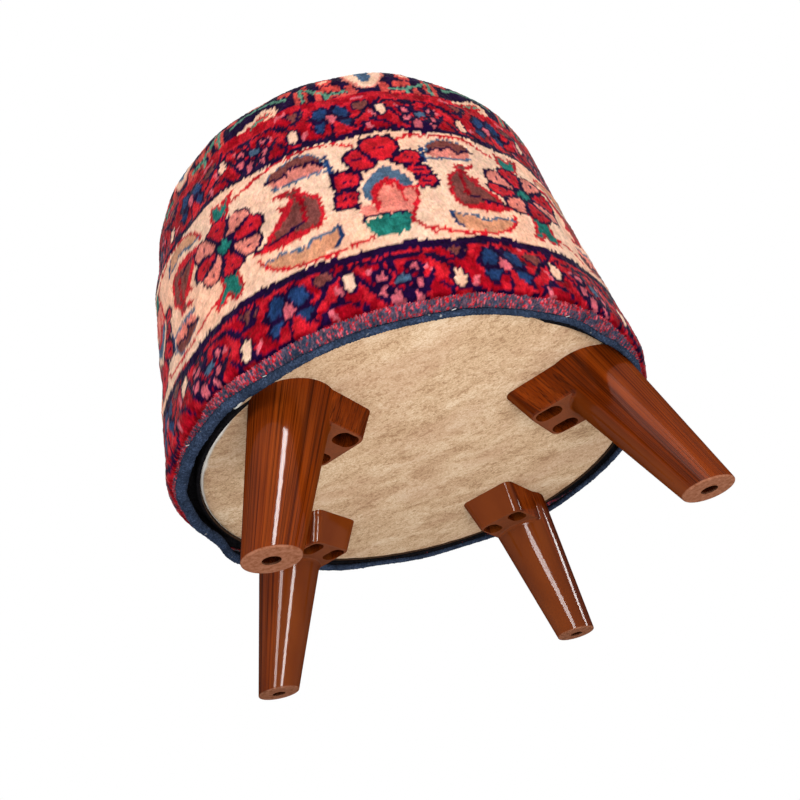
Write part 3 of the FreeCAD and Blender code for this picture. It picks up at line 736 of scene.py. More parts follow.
class Canvas:
    """Knots that are dyed shape by shape, each at its own place in millimetres."""

    EDGE_WIDTH = 1.8

    def __init__(self, across: Array, up: Array, ground: Dye) -> None:
        """Starts with one ground colour.

        Args:
            across: Each knot's place along the rug.
            up: Each knot's place up the rug.
            ground: The colour to begin with.
        """
        self.across = across.ravel()
        self.up = up.ravel()
        self.dyes = list(Dye)
        self.index = np.full(self.across.shape, self.dyes.index(ground), np.int16)

    def fill(self, mask: Array, dye: Dye) -> None:
        """Dyes the knots of a mask or of a list of numbers."""
        self.index[mask] = self.dyes.index(dye)

    def strip(self, low: float | Array, high: float | Array, dye: Dye) -> None:
        """Dyes the knots between two heights."""
        self.fill((self.up >= low) & (self.up < high), dye)

    def _near(self, points: Array, reach: float) -> Array:
        """Finds the knots in the box of some points.

        Args:
            points: The points.
            reach: How far outside their box a knot still counts.

        Returns:
            Numbers of the knots.
        """
        low = points.min(axis=0) - reach
        high = points.max(axis=0) + reach
        inside = (self.across > low[0]) & (self.across < high[0]) & (self.up > low[1]) & (self.up < high[1])
        return np.nonzero(inside)[0]

    def _distance(self, knots: Array, points: Array, closed: bool) -> tuple[Array, Array]:
        """Measures knots against an outline.

        Args:
            knots: Numbers of the knots.
            points: The outline's corners.
            closed: Whether its end joins its start.

        Returns:
            Each knot's distance from the line, and whether it lies inside.
        """
        x = self.across[knots]
        y = self.up[knots]
        best = np.full(x.shape, np.inf)
        inside = np.zeros(x.shape, bool)
        ends = np.roll(points, -1, axis=0) if closed else points[1:]
        for (x0, y0), (x1, y1) in zip(points, ends):
            dx, dy = x1 - x0, y1 - y0
            share = np.clip(((x - x0) * dx + (y - y0) * dy) / max(dx * dx + dy * dy, 1e-9), 0, 1)
            best = np.minimum(best, np.hypot(x - x0 - share * dx, y - y0 - share * dy))
            if y0 != y1:
                crosses = ((y0 > y) != (y1 > y)) & (x < dx * (y - y0) / dy + x0)
                inside ^= crosses
        return best, inside

    def shape(self, points: Points, dye: Dye, edge: Dye | None = None, width: float = EDGE_WIDTH) -> None:
        """Dyes a closed outline.

        Args:
            points: Its corners.
            dye: The colour inside.
            edge: The colour of its border, if it has one.
            width: The width of the border.
        """
        corners = np.array(points, float)
        knots = self._near(corners, width)
        distance, inside = self._distance(knots, corners, True)
        if edge:
            self.fill(knots[inside | (distance < width * 0.4)], edge)
            inside &= distance > width * 0.6
        self.fill(knots[inside], dye)

    def line(self, points: Points, dye: Dye, width: float) -> None:
        """Dyes the knots along a line.

        Args:
            points: Its corners.
            dye: Its colour.
            width: Its width.
        """
        corners = np.array(points, float)
        knots = self._near(corners, width)
        distance, _ = self._distance(knots, corners, False)
        self.fill(knots[distance < width / 2], dye)

    def oval(self, centre: Place, radii: Place, dye: Dye, edge: Dye | None = None) -> None:
        """Dyes an oval.

        Args:
            centre: Its middle.
            radii: Its half width and half height.
            dye: The colour inside.
            edge: The colour of the border round it, if it has one.
        """
        x = self.across - centre[0]
        y = self.up - centre[1]
        if edge:
            wide, tall = (radius + self.EDGE_WIDTH for radius in radii)
            self.fill((x / wide) ** 2 + (y / tall) ** 2 < 1, edge)
        self.fill((x / radii[0]) ** 2 + (y / radii[1]) ** 2 < 1, dye)

    def colours(self, rng: np.random.Generator, spread: float) -> Array:
        """Linear colours of the knots, each a little lighter or darker than its dye.

        Args:
            rng: The seeded source of the differences.
            spread: How much the knots differ.

        Returns:
            Red, green and blue of each knot.
        """
        table = np.array([linear(*dye.value)[:3] for dye in self.dyes])
        shade = rng.normal(1.0, spread, (len(self.index), 1))
        hue = rng.normal(1.0, spread * 0.35, (len(self.index), 3))
        return np.clip(table[self.index] * np.clip(shade, 0.5, 1.5) * hue, 0.0, 1.0)


PETALS: tuple[Points, ...] = (
    (
        (-12.5, 295), (-10, 303), (12, 303), (16, 294), (17, 285), (9, 271), (0, 268), (-8, 276),
        (-13.5, 288),
    ),
    (
        (-22, 289), (-14, 290), (-9, 278), (-4.5, 268), (-6, 263), (-17, 262), (-22, 265), (-26, 272),
        (-27, 282),
    ),
    ((-38.5, 266), (-24, 265), (-17.5, 259), (-17.5, 251), (-24, 244), (-38.5, 244), (-40, 255)),
    ((-40, 241.5), (-25, 241.5), (-22.5, 237), (-24, 228), (-27, 221), (-42, 224), (-41, 235)),
    ((15.5, 278), (22, 283), (30, 281), (31.5, 272), (28, 262.5), (16.5, 261), (7, 265.5), (8, 270)),
    ((15.5, 259), (19, 262.5), (33, 262), (34.5, 254), (33, 248.5), (18, 249), (15, 253)),
    ((21.5, 248), (36.5, 249), (37, 240), (32, 233.5), (20.5, 234), (19, 240)),
)
PETAL_MARKS: Points = ((1, 285), (-17.5, 276), (-29, 253), (-31, 234), (21, 272), (25, 255), (28, 241))
HALO: Points = (
    (-25, 222), (-23, 236), (-19, 248), (-9, 261), (0, 270.5), (9, 263.5), (18, 252.5), (20.5, 243),
    (20, 234), (10, 230), (-10, 225),
)
ARCH: Points = (
    (-21, 226), (-20, 238), (-15, 249), (-6, 259), (0, 264.5), (7, 258.5), (14, 250), (17, 240),
    (16, 236), (10, 236), (0, 240), (-14, 226),
)
ARCH_RING: Points = (
    (-16, 222), (-14.5, 236), (-9, 244), (-1, 248.5), (6, 245.5), (9, 238), (13, 236), (19, 236), (19, 226),
    (11, 212), (-14, 212),
)
BELL: Points = (
    (-25, 222), (-17, 221), (-12, 216), (-11, 238), (-3, 243.5), (4, 240), (6, 232), (12, 234),
    (17, 232), (17, 225), (14, 215), (9, 206), (-25.5, 206),
)
BELL_FOOT: Points = (
    (-25, 202), (-19, 203.5), (-9, 206), (6, 206), (6.5, 197), (4, 188), (-6, 184), (-19, 185), (-25, 196),
)
DOME: Points = (
    (-89.5, 287), (-84.5, 294), (-74.5, 297.5), (-61, 299), (-51, 296), (-44.5, 288.5), (-42, 280),
    (-46, 284.5), (-57.5, 285), (-68, 289), (-73, 282.5), (-81, 286),
)
DOME_FLOOR: Points = (
    (-87, 284), (-81, 285.5), (-73, 282), (-68, 288.5), (-57.5, 284.5), (-46, 284), (-43, 276), (-47, 274),
    (-64, 275), (-83, 276),
)
DOME_LINE: Points = (
    (-90, 287.5), (-81, 286), (-73, 282.5), (-68, 289), (-57.5, 285), (-48, 285), (-43, 278.5),
)
HOOK: Points = (
    (-85, 268), (-77.5, 266.5), (-63, 266), (-63.5, 258), (-60, 255), (-51, 246.5), (-49.5, 236.5),
    (-49.5, 220), (-53, 211.5), (-64.5, 208), (-84.5, 207.5), (-99.5, 213.5), (-111, 218), (-99, 221),
    (-93, 230), (-84.5, 237), (-79.5, 242), (-85, 251.5), (-77.5, 250), (-73, 252), (-73.5, 260),
    (-79.5, 260), (-84.5, 264),
)
HOOK_HEART: Points = (
    (-75, 264), (-66, 263), (-66.5, 257), (-62, 252), (-54, 244), (-53, 236), (-53, 222), (-56, 214),
    (-65, 213), (-77, 219), (-92, 222.5), (-83, 231), (-75, 238), (-71, 246), (-69, 254), (-74, 259),
)
DOME_SILL: Points = ((-85, 275), (-60, 273), (-38, 271.5))
DOME_POST: Points = ((-40, 288), (-39, 278), (-38, 266))
HOOK_VEIN: Points = ((-68, 257), (-64, 246), (-64, 225))
HOOK_BARB: Points = ((-106, 221), (-92, 220), (-80, 218.5), (-74, 222), (-66, 222))
BELL_RIB: Points = ((-13, 214), (-12, 232), (-4, 243), (5, 236), (7, 220))
BELL_STEM: Points = ((19, 235), (16.5, 220), (10, 207), (6.5, 196), (19, 182))
BELL_SILL: Points = ((-26, 204), (-24, 207.5), (-12, 207.5), (-9, 206), (6, 206.5))
BOAT: Points = (
    (-100, 202.5), (-88, 203.3), (-79.5, 200), (-71, 197.5), (-66, 197.5), (-63, 201.5), (-51, 201.5),
    (-44.5, 204), (-42.5, 206), (-43, 192), (-48, 186.5), (-58, 182.5), (-73, 183.5), (-84.5, 187),
    (-94, 194),
)
BOAT_VINE: Points = (
    (-104, 210), (-101, 202), (-94.5, 192.5), (-84.5, 186), (-71, 181.5), (-51, 180), (-34.5, 183.5),
    (-23, 186),
)
TOP_VINE: Points = (
    (-123, 288), (-110, 293), (-95, 300.5), (-81, 303.5), (-51, 304), (-29, 303.5), (-25, 299),
    (-18, 296.5),
)
FORK: Points = (
    (-9, 298), (-2, 297), (0, 291), (4, 295), (8, 298), (15, 301), (11, 294), (8.5, 287), (7, 280),
    (0, 278.5), (-10, 279), (-10, 287),
)
TRUMPET: Points = (
    (-7, 216), (9, 217), (11, 203), (12.5, 196), (10, 188), (3, 187), (-1, 197), (-6, 188), (-14, 188),
    (-8, 198), (-5, 207),
)
GUARD_VINES: tuple[Points, ...] = (
    ((-73.5, 15.5), (-62, 15), (-54, 16), (-46, 8), (-38, 0)),
    ((-33, -22), (-24, -25.5), (-10, -27.5), (10, -27.5), (22, -23), (31, -12), (39, -4)),
    ((44, 12), (49, 16.5), (56, 15), (69, 15.5), (73.5, 15)),
    ((50, 4), (55, -8), (60, -20), (70, -27), (80, -27)),
    ((-50, -2), (-56, -14), (-64, -24), (-80, -27)),
    ((16, -8), (24, -3), (29, 6), (38, 12), (44, 20)),
    ((22, -17), (33, -12), (43, -16), (51, -25)),
    ((-4, -24), (-16, -27), (-27, -22), (-33, -12)),
    ((-24, 22), (-30, 8), (-40, 6), (-48, 14)),
    ((-48, -14), (-42, -22), (-46, -30)),
)
GUARD_DASHES: tuple[Points, ...] = (
    ((27, -17), (29, -24)),
    ((56, 8), (60, 3)),
    ((-57, 6), (-54, 0)),
    ((-24, -12), (-27, -18)),
    ((33, 1), (36, -6)),
    ((-46, 24), (-38, 25)),
    ((20, 23), (30, 24)),
)
GUARD_DEEP: Points = (
    (-52, 15), (-44, 3), (-28, -10), (-18, -25), (-8, -25), (-8, -14), (-16, -10), (-22, 0), (-19, 10),
    (-26, 5), (-36, 14), (-44, 20),
)
GUARD_SHADOWS: tuple[Points, ...] = (
    ((26, -10), (31, -14), (38, -12), (46, -14), (54, -19), (56, -30), (24, -30)),
    ((-54, -14), (-45, -12), (-40, -20), (-40, -32), (-58, -32)),
)
GUARD_LEAVES: tuple[Points, ...] = (
    ((-40, 21), (-21, 21), (-24, 13), (-31, 4), (-34, 12)),
    ((19, 16), (24, 19), (35, 18), (33, 10), (26, 5), (20, 9)),
)
GUARD_BUDS: tuple[tuple[Place, Place], ...] = (((-35.2, -12.0), (3.9, 8.8)), ((42.3, 3.0), (3.8, 8.2)))
FLOWER: Points = (
    (-20, -9), (-16, -5), (-20, 3), (-18.5, 8), (-14, 12.5), (-14, 17.5), (-8, 19), (-4.5, 20.5), (0.5, 17),
    (3.5, 20), (8, 20), (10.5, 16.5), (15, 13.5), (14.5, 9.5), (18.5, 6), (16, 0), (15, -3), (20.5, -7),
    (17.5, -13), (17.5, -20), (13, -19), (9, -14), (5, -7), (0, -3), (-5, -9), (-9, -15), (-11, -20.5),
    (-15, -18.5), (-16.5, -13),
)
FLOWER_LOBES: tuple[Points, ...] = (
    ((-12.5, 15), (-8, 16.8), (-3.5, 15), (-2, 10), (-4.5, 6), (-6, 1.5), (-12, 0.5), (-16, 4), (-14, 9)),
    ((-17.5, -8), (-12, -4.5), (-5, -5.5), (-7, -10), (-11, -16.5), (-13.8, -15), (-14.5, -11)),
)
FLOWER_WEDGE: Points = ((-1, -5), (2.5, -6), (6, -12), (9, -18), (8, -23), (0, -23))
FLOWER_HEART: Points = (
    (-4.8, 1), (-3, 5.5), (-0.5, 6.8), (2, 5), (4.2, 3), (3.6, -2), (0, -6), (-2.5, -5), (-4, -1),
)
FLOWER_STALK: Points = ((-0.5, -7), (-1.5, -24))
ROSETTE_PETALS: tuple[tuple[Points, Dye], ...] = (
    (((-9, 14), (-2, 13), (-2.5, 5), (-9, 6)), Dye.RED),
    (((-16.5, 3), (-12, 7.5), (-6, 5), (-4, -1), (-9, -4), (-15, -3)), Dye.PINK),
    (((7, 7), (13, 9), (17, 4), (15, -2), (8, -1)), Dye.PINK),
    (((-17.5, -8), (-9, -5), (-6, -10), (-9, -17), (-16, -18)), Dye.PINK),
    (((8, -7), (14, -5), (17, -11), (14, -19), (8, -17)), Dye.PINK),
    (((-9, -16), (-3, -10), (1, -16), (2, -26), (-6, -28), (-10, -22)), Dye.PINK),
    (((3, -12), (7, -15), (13, -20), (14, -28), (6, -27)), Dye.PINK),
)
FIELD_PALMETTE: Points = (
    (-19, 404), (-17, 394), (-12, 388), (-8, 381), (-4, 377.5), (4, 377.5), (8, 381), (12, 388),
    (17, 394), (19, 404), (14, 414), (0, 420), (-14, 414),
)
FIELD_HEART: Points = ((-7, 406), (-6, 392), (0, 386), (6, 392), (7, 406), (0, 413))
FIELD_CORAL: tuple[Points, ...] = (
    ((9, 366), (17, 366), (19, 384), (13, 386), (10, 376)),
    ((18, 366), (36, 366), (36, 374), (18, 374)),
    ((22, 381), (40, 381), (38, 389), (24, 388)),
    ((28, 392), (40, 389), (43, 404), (30, 405)),
    ((40, 365), (45, 365), (45, 384), (40, 384)),
    ((51, 372), (54, 372), (54, 398), (51, 398)),
    ((58, 366), (62, 366), (62, 392), (58, 392)),
    ((64, 392), (74, 389), (76, 400), (66, 401)),
)
FIELD_SAGE: tuple[Points, ...] = (
    ((18, 377), (35, 377), (35, 364)),
    ((37, 379), (46, 383), (52, 389)),
    ((56, 366), (56, 392)),
    ((70, 384), (82, 391), (94, 392)),
)
FIELD_LINES: tuple[tuple[Points, Dye, float], ...] = (
    (((24, 369.5), (31, 369.5)), Dye.NAVY, 2.6),
    (((33, 398), (38, 396)), Dye.CREAM, 4.0),
    (((10, 426), (30, 426), (30, 436), (62, 436)), Dye.CORAL, 3.4),
    (((62, 436), (62, 414), (84, 414)), Dye.SAGE, 3.0),
)
FIELD_OVALS: tuple[tuple[Place, Place, Dye, Dye], ...] = (
    ((48, 420), (9, 8), Dye.PINK, Dye.RED),
    ((48, 420), (3.4, 3.2), Dye.STEEL, Dye.NAVY),
    ((76, 428), (4.5, 6), Dye.CREAM, Dye.SAGE),
)
COMB: Points = ((-22, -8), (-6, -5), (10, -1), (17, 5), (14, 12), (4, 14), (-8, 7), (-22, 0))
COMB_STRIPES: tuple[tuple[Points, Dye], ...] = (
    (((-18, -2), (-4, 3), (8, 8)), Dye.SAGE),
    (((-17, -5), (0, 0), (12, 4)), Dye.CREAM),
)
SEAT_VINES: tuple[tuple[Points, Dye, float], ...] = (
    (((30, 140), (48, 118), (40, 96), (58, 84)), Dye.RED, 3.0),
    (((120, 40), (104, 52), (110, 70), (86, 74)), Dye.RED, 3.0),
    (((58, 84), (74, 100), (92, 92), (86, 74), (66, 66)), Dye.TEAL, 2.6),
)
SEAT_FLOWERS: tuple[tuple[Place, float], ...] = (
    ((44, 116), 9), ((112, 48), 9), ((82, 84), 11), ((12, 128), 9), ((132, 12), 9),
)
SEAT_BUDS: Points = ((66, 112), (116, 76), (70, 60), (30, 104), (104, 28))
SEAT_HOOKS: tuple[Points, ...] = (
    ((0, 88), (10, 94), (10, 104), (0, 108)),
    ((88, 0), (94, 10), (104, 10), (108, 0)),
)
SEAT_LEAVES: tuple[tuple[Points, Dye, Dye], ...] = (
    (((20, 84), (24, 92), (33, 90), (28, 83)), Dye.SAGE, Dye.CREAM),
    (((84, 20), (92, 24), (90, 33), (83, 28)), Dye.SAGE, Dye.CREAM),
    (((58, 124), (64, 132), (72, 122), (66, 120)), Dye.BROWN, Dye.CORAL),
    (((124, 58), (132, 64), (122, 72), (120, 66)), Dye.BROWN, Dye.CORAL),
)
SEAT_DOTS: Points = (
    (52, 72), (72, 52), (60, 96), (96, 60), (0, 98), (98, 0), (94, 94), (24, 118), (118, 24),
)
SEAT_RINGS: tuple[tuple[float, Dye], ...] = (
    (0.0, Dye.CREAM), (4.0, Dye.NAVY), (6.5, Dye.RED), (30.0, Dye.CREAM), (33.0, Dye.STEEL),
)
SEAT_PETALS: Points = ((50, 0), (0, 50), (36, 36))


@dataclass(frozen=True)
class Guard:
    """A guard: a flower's place along the rug, the length of its repeat and its middle height."""

    flower: float
    period: float
    middle: float


@dataclass
class RugPattern:
    """A traditional bordered rug: two flowered guards, a palmette border and a dark field."""

    seed: int = 5
    period: float = 246.0
    palmette: float = 301.0
    rosette_left: float = 132.0
    rosette_right: float = 114.0
    border_middle: float = 243.0
    low_line: float = 173.0
    low_wander: Points = (
        (-120, 171), (-40, 174), (40, 170), (112, 167), (150, 171), (192, 175.5), (230, 173), (270, 171.5),
        (300, 172), (325, 169), (345, 172), (368, 175), (400, 174.5), (440, 171), (480, 168), (560, 172),
        (660, 174), (760, 170),
    )
    low_half: float = 4.4
    high_line: float = 310.3
    high_half: float = 3.0
    rosette_wide: float = 39.0
    rosette_tall: float = 35.0
    rosette_turn: float = 12.0
    guards: tuple[Guard, ...] = (Guard(212.5, 147.0, 147.0), Guard(275.0, 140.0, 339.0))
    guard_half: float = 30.0
    guard_drawn: float = 147.0
    field_start: float = 362.6
    field_period: float = 192.0
    field_shift: float = 11.0
    comb_height: float = 368.0
    comb_flower: float = 408.0
    medallion: float = 70.0
    medallion_lobes: int = 8
    seat_border: float = 143.0
    seat_border_half: float = 5.0
    knot_spread: float = 0.065

    def side(self, along: Array, up: Array) -> Array:
        """Colours of the knots on the side and shoulder.

        Args:
            along: Places round the drum, in millimetres at its widest.
            up: Places up the rug.

        Returns:
            Linear colours.
        """
        rng = np.random.default_rng(self.seed)
        ragged = along + rng.normal(0, 0.36, along.shape)
        teeth = up + rng.normal(0, 0.55, up.shape[1]) + rng.normal(0, 0.45, up.shape)
        canvas = Canvas(ragged, teeth, Dye.RED)
        wave = 2.2 * np.sin(canvas.across / 23.0) + 1.4 * np.sin(canvas.across / 9.7 + 1.0)
        self._field(canvas)
        for guard in self.guards:
            self._guard(canvas, guard)
        canvas.strip(self.low_line, self.high_line, Dye.CREAM)
        first = int((along.min() - self.palmette) // self.period)
        last = int((along.max() - self.palmette) // self.period) + 1
        for repeat in range(first, last + 1):
            self._border_tile(canvas, self.palmette + repeat * self.period, repeat % 2 == 1)
        for repeat in range(first, last + 2):
            self._rosette(canvas, self.palmette + repeat * self.period - self.rosette_left)
        stops = [place for place, _ in self.low_wander]
        low = np.interp(canvas.across, stops, [rise for _, rise in self.low_wander]) + 0.35 * wave
        canvas.strip(low - self.low_half, low + self.low_half, Dye.NAVY)
        bottom, top = self.high_line - self.high_half, self.high_line + self.high_half
        canvas.strip(bottom + wave * 0.5, top + wave * 0.5, Dye.NAVY)
        return canvas.colours(rng, self.knot_spread)

    def _placed(self, centre: float, flipped: bool, points: Points, side: int = 1) -> Points:
        """Moves a shape of the border to its tile.

        Args:
            centre: The palmette's place along the rug.
            flipped: Whether the tile stands on its head.
            points: The shape's points, as drawn at a palmette's left.
            side: 1 as drawn, or -1 mirrored and squeezed for the right.

        Returns:
            The moved points.
        """
        squeeze = self.rosette_right / self.rosette_left
        placed = []
        for x, y in points:
            across = x if side > 0 else -x * squeeze
            height = 2 * self.border_middle - y if flipped else y
            placed.append((centre + across, height))
        return placed

    def _border_tile(self, canvas: Canvas, centre: float, flipped: bool) -> None:
        """Dyes one palmette and the leaves at both of its sides.

        Args:
            canvas: The knots.
            centre: The palmette's place along the rug.
            flipped: Whether it stands on its head.
        """
        put = partial(self._placed, centre, flipped)
        for side in (1, -1):
            canvas.line(put(TOP_VINE, side), Dye.RED, 3.3)
            canvas.line(put(BOAT_VINE, side), Dye.RED, 3.3)
            canvas.shape(put(BOAT, side), Dye.TAN)
            canvas.line(put(BOAT[:9], side), Dye.STEEL, 3.0)
            canvas.line(put(BOAT[8:11], side), Dye.BLUE, 3.0)
            canvas.shape(put(DOME, side), Dye.BROWN, Dye.STEEL, 1.6)
            canvas.shape(put(DOME_FLOOR, side), Dye.SALMON)
            canvas.line(put(DOME_LINE, side), Dye.NAVY, 3.2)
            canvas.line(put(DOME_SILL, side), Dye.STEEL, 2.9)
            canvas.line(put(DOME_POST, side), Dye.BLUE, 3.4)
            canvas.shape(put(HOOK, side), Dye.RED)
            canvas.shape(put(HOOK_HEART, side), Dye.BROWN)
            canvas.line(put(HOOK_VEIN, side), Dye.CRIMSON, 4.0)
            canvas.line(put(HOOK_BARB, side), Dye.NAVY, 3.0)
        for petal in PETALS:
            canvas.shape(put(petal), Dye.RED, Dye.NAVY, 3.3)
        for x, y in PETAL_MARKS:
            canvas.line(put(((x - 2.6, y), (x + 2.6, y))), Dye.NAVY, 2.8)
        for points, dye in ((HALO, Dye.CREAM), (ARCH, Dye.STEEL), (ARCH_RING, Dye.RED), (BELL, Dye.SALMON)):
            canvas.shape(put(points), dye)
        canvas.line(put(BELL_RIB), Dye.RED, 3.0)
        canvas.line(put(BELL_STEM), Dye.RED, 3.2)
        canvas.shape(put(BELL_FOOT), Dye.TEAL)
        canvas.line(put(BELL_SILL), Dye.NAVY, 2.8)

    def _rosette(self, canvas: Canvas, centre: float) -> None:
        """Dyes one eight-petalled rosette with the green leaves over and under it.

        Args:
            canvas: The knots.
            centre: Its place along the rug.
        """
        for leaf in (FORK, TRUMPET):
            canvas.shape([(centre + x, y) for x, y in leaf], Dye.TEAL, Dye.RED, 3.0)
        x = canvas.across - centre
        y = canvas.up - (self.border_middle + 3.0)
        petal_turn = 45.0
        reach = np.hypot(x / self.rosette_wide, y / self.rosette_tall)
        angle = np.degrees(np.arctan2(y / self.rosette_tall, x / self.rosette_wide)) + self.rosette_turn
        slot = np.floor(angle / petal_turn)
        off = np.abs(angle - (slot + 0.5) * petal_turn)
        rim = 1.0 - 0.16 * (off / (petal_turn / 2)) ** 2
        canvas.fill(reach < rim, Dye.NAVY)
        gap = (petal_turn / 2 - off) * math.pi / 180 * reach * 34.0
        petal = (reach < rim - 0.09) & (reach > 0.27) & (gap > 2.1)
        canvas.fill(petal & (slot % 2 == 0), Dye.RED)
        canvas.fill(petal & (slot % 2 == 1), Dye.SALMON)
        canvas.fill((np.abs(reach - 0.66) < 0.045) & (off < 3.2), Dye.NAVY)
        canvas.fill(np.abs(x) / 7.5 + np.abs(y) / 7.5 < 1, Dye.TEAL)

    def _guard(self, canvas: Canvas, guard: Guard) -> None:
        """Dyes a red guard with a winding vine, blue flowers, pink rosettes and buds.

        Args:
            canvas: The knots.
            guard: Where the guard lies.
        """
        keep = np.abs(canvas.up - guard.middle) < self.guard_half
        x = short_way(canvas.across - guard.flower, guard.period)
        y = canvas.up - guard.middle
        local = Canvas(x[keep] * self.guard_drawn / guard.period, y[keep], Dye.RED)
        bend = local.across * 0.21 + 1.3 * np.sin(local.up * 0.17)
        patch = np.sin(bend) * np.cos(local.up * 0.26 + local.across * 0.05)
        local.fill(patch > 0.12, Dye.CRIMSON)
        for shadow in (GUARD_DEEP, *GUARD_SHADOWS):
            local.shape(shadow, Dye.CRIMSON)
        for leaf in GUARD_LEAVES:
            local.shape(leaf, Dye.BROWN, Dye.NAVY)
        for vine in GUARD_VINES:
            local.line(vine, Dye.NAVY, 3.6)
        for dash in GUARD_DASHES:
            local.line(dash, Dye.PINK, 3.4)
        for bud, size in GUARD_BUDS:
            local.oval(bud, (size[0] + 2.8, size[1] + 2.4), Dye.NAVY)
            local.oval(bud, size, Dye.CREAM)
        local.shape(FLOWER, Dye.NAVY)
        for lobe in FLOWER_LOBES:
            local.shape(lobe, Dye.BLUE)
            local.shape([(-across, height) for across, height in lobe], Dye.BLUE)
        local.shape(FLOWER_WEDGE, Dye.RED)
        local.line(FLOWER_STALK, Dye.NAVY, 2.6)
        local.shape(FLOWER_HEART, Dye.PINK)
        for side in (-1, 1):
            self._guard_rosette(local, side * self.guard_drawn / 2)
        canvas.index[np.nonzero(keep)[0]] = local.index

    def _guard_rosette(self, local: Canvas, centre: float) -> None:
        """Dyes one pink rosette of a guard.

        Args:
            local: The guard's knots.
            centre: Its place from the flower.
        """
        for petal, dye in ROSETTE_PETALS:
            local.shape([(centre + across, height) for across, height in petal], dye, Dye.NAVY, 3.4)
        local.line(((centre - 1, 15), (centre - 1, -2)), Dye.NAVY, 2.8)
        local.oval((centre + 2.5, -4.5), (5.0, 4.0), Dye.STEEL, Dye.NAVY)

    def _field(self, canvas: Canvas) -> None:
        """Dyes the dark field over the shoulder: palmettes, hooked lines and striped leaves on navy.

        Args:
            canvas: The knots.
        """
        canvas.strip(self.field_start - 1.0, np.inf, Dye.NAVY)
        half = self.field_period / 2
        place = canvas.across - self.palmette - self.field_shift
        turn = np.floor((place + half) / self.field_period)
        local = Canvas(place - turn * self.field_period, canvas.up, Dye.NAVY)
        local.index[:] = canvas.index
        for side in (-1, 1):
            for block in FIELD_CORAL:
                local.shape([(side * x, y) for x, y in block], Dye.CORAL)
            for hook in FIELD_SAGE:
                local.line([(side * x, y) for x, y in hook], Dye.SAGE, 3.2)
            for points, dye, width in FIELD_LINES:
                local.line([(side * x, y) for x, y in points], dye, width)
            for (x, y), radii, dye, edge in FIELD_OVALS:
                local.oval((side * x, y), radii, dye, edge)
        local.shape(FIELD_PALMETTE, Dye.CREAM, Dye.SALMON, 3.0)
        local.shape(FIELD_HEART, Dye.STEEL)
        for end in (-half, half):
            local.shape([(end + x, self.comb_height + y) for x, y in COMB], Dye.RED, Dye.CREAM, 4.4)
            for stripe, dye in COMB_STRIPES:
                local.line([(end + x, self.comb_height + y) for x, y in stripe], dye, 2.4)
            local.oval((end, self.comb_flower), (10, 9), Dye.CORAL, Dye.CREAM)
            local.oval((end, self.comb_flower), (4, 3.6), Dye.BLUE)
        canvas.index = local.index
        teeth = np.sin(canvas.across / 2.9) + 0.6 * np.sin(canvas.across / 11.3)
        canvas.fill((np.abs(canvas.up - self.field_start + 4.4) < 2.2) & (teeth > 0.35), Dye.MAROON)
        rise = 1.6 * np.sin(canvas.across / 37.0)
        canvas.strip(self.field_start - 1.2 + rise, self.field_start + 1.4 + rise, Dye.SAGE)

    def top(self, across: Array, along: Array) -> Array:
        """Colours of the knots on the seat: a lobed medallion in a dark field of flowers.

        Args:
            across: Places along X.
            along: Places along Y.

        Returns:
            Linear colours.
        """
        rng = np.random.default_rng(self.seed + 1)
        x = across + rng.normal(0, 0.4, across.shape)
        y = along + rng.normal(0, 0.4, along.shape)
        canvas = Canvas(np.abs(x), np.abs(y), Dye.NAVY)
        for vine, dye, width in SEAT_VINES:
            canvas.line(vine, dye, width)
        for flower, size in SEAT_FLOWERS:
            canvas.oval(flower, (size, size), Dye.PINK, Dye.RED)
            canvas.oval(flower, (size * 0.45, size * 0.45), Dye.BLUE, Dye.NAVY)
        for bud in SEAT_BUDS:
            canvas.oval(bud, (4, 6), Dye.CREAM, Dye.TEAL)
        for hook in SEAT_HOOKS:
            canvas.line(hook, Dye.CORAL, 3.2)
        for leaf, dye, edge in SEAT_LEAVES:
            canvas.shape(leaf, dye, edge)
        for dot in SEAT_DOTS:
            canvas.oval(dot, (3, 3), Dye.CORAL)
        self._medallion(canvas)
        return canvas.colours(rng, self.knot_spread)

    def _medallion(self, canvas: Canvas) -> None:
        """Dyes the seat's lobed medallion and the border round its field.

        Args:
            canvas: The knots of a quarter of the seat.
        """
        reach = np.hypot(canvas.across, canvas.up)
        angle = np.arctan2(canvas.up, canvas.across)
        wave = np.cos(self.medallion_lobes * angle)
        for inset, dye in SEAT_RINGS:
            canvas.fill(reach < self.medallion + 9.0 * wave - inset, dye)
        for petal in SEAT_PETALS:
            canvas.oval(petal, (7, 7), Dye.SALMON, Dye.NAVY)
            canvas.oval(petal, (2.6, 2.6), Dye.CRIMSON)
        canvas.fill(reach < 26 + 3 * wave, Dye.NAVY)
        canvas.fill(reach < 23 + 3 * wave, Dye.CRIMSON)
        canvas.oval((0, 0), (12, 12), Dye.PINK, Dye.NAVY)
        canvas.oval((0, 0), (5, 5), Dye.TEAL, Dye.NAVY)
        from_border = np.abs(reach - self.seat_border)
        border = from_border < self.seat_border_half
        canvas.fill(border, Dye.RED)
        canvas.fill(border & (np.sin(angle * 44) > 0.55), Dye.CREAM)
        canvas.fill(np.abs(from_border - self.seat_border_half) < 1.4, Dye.NAVY)


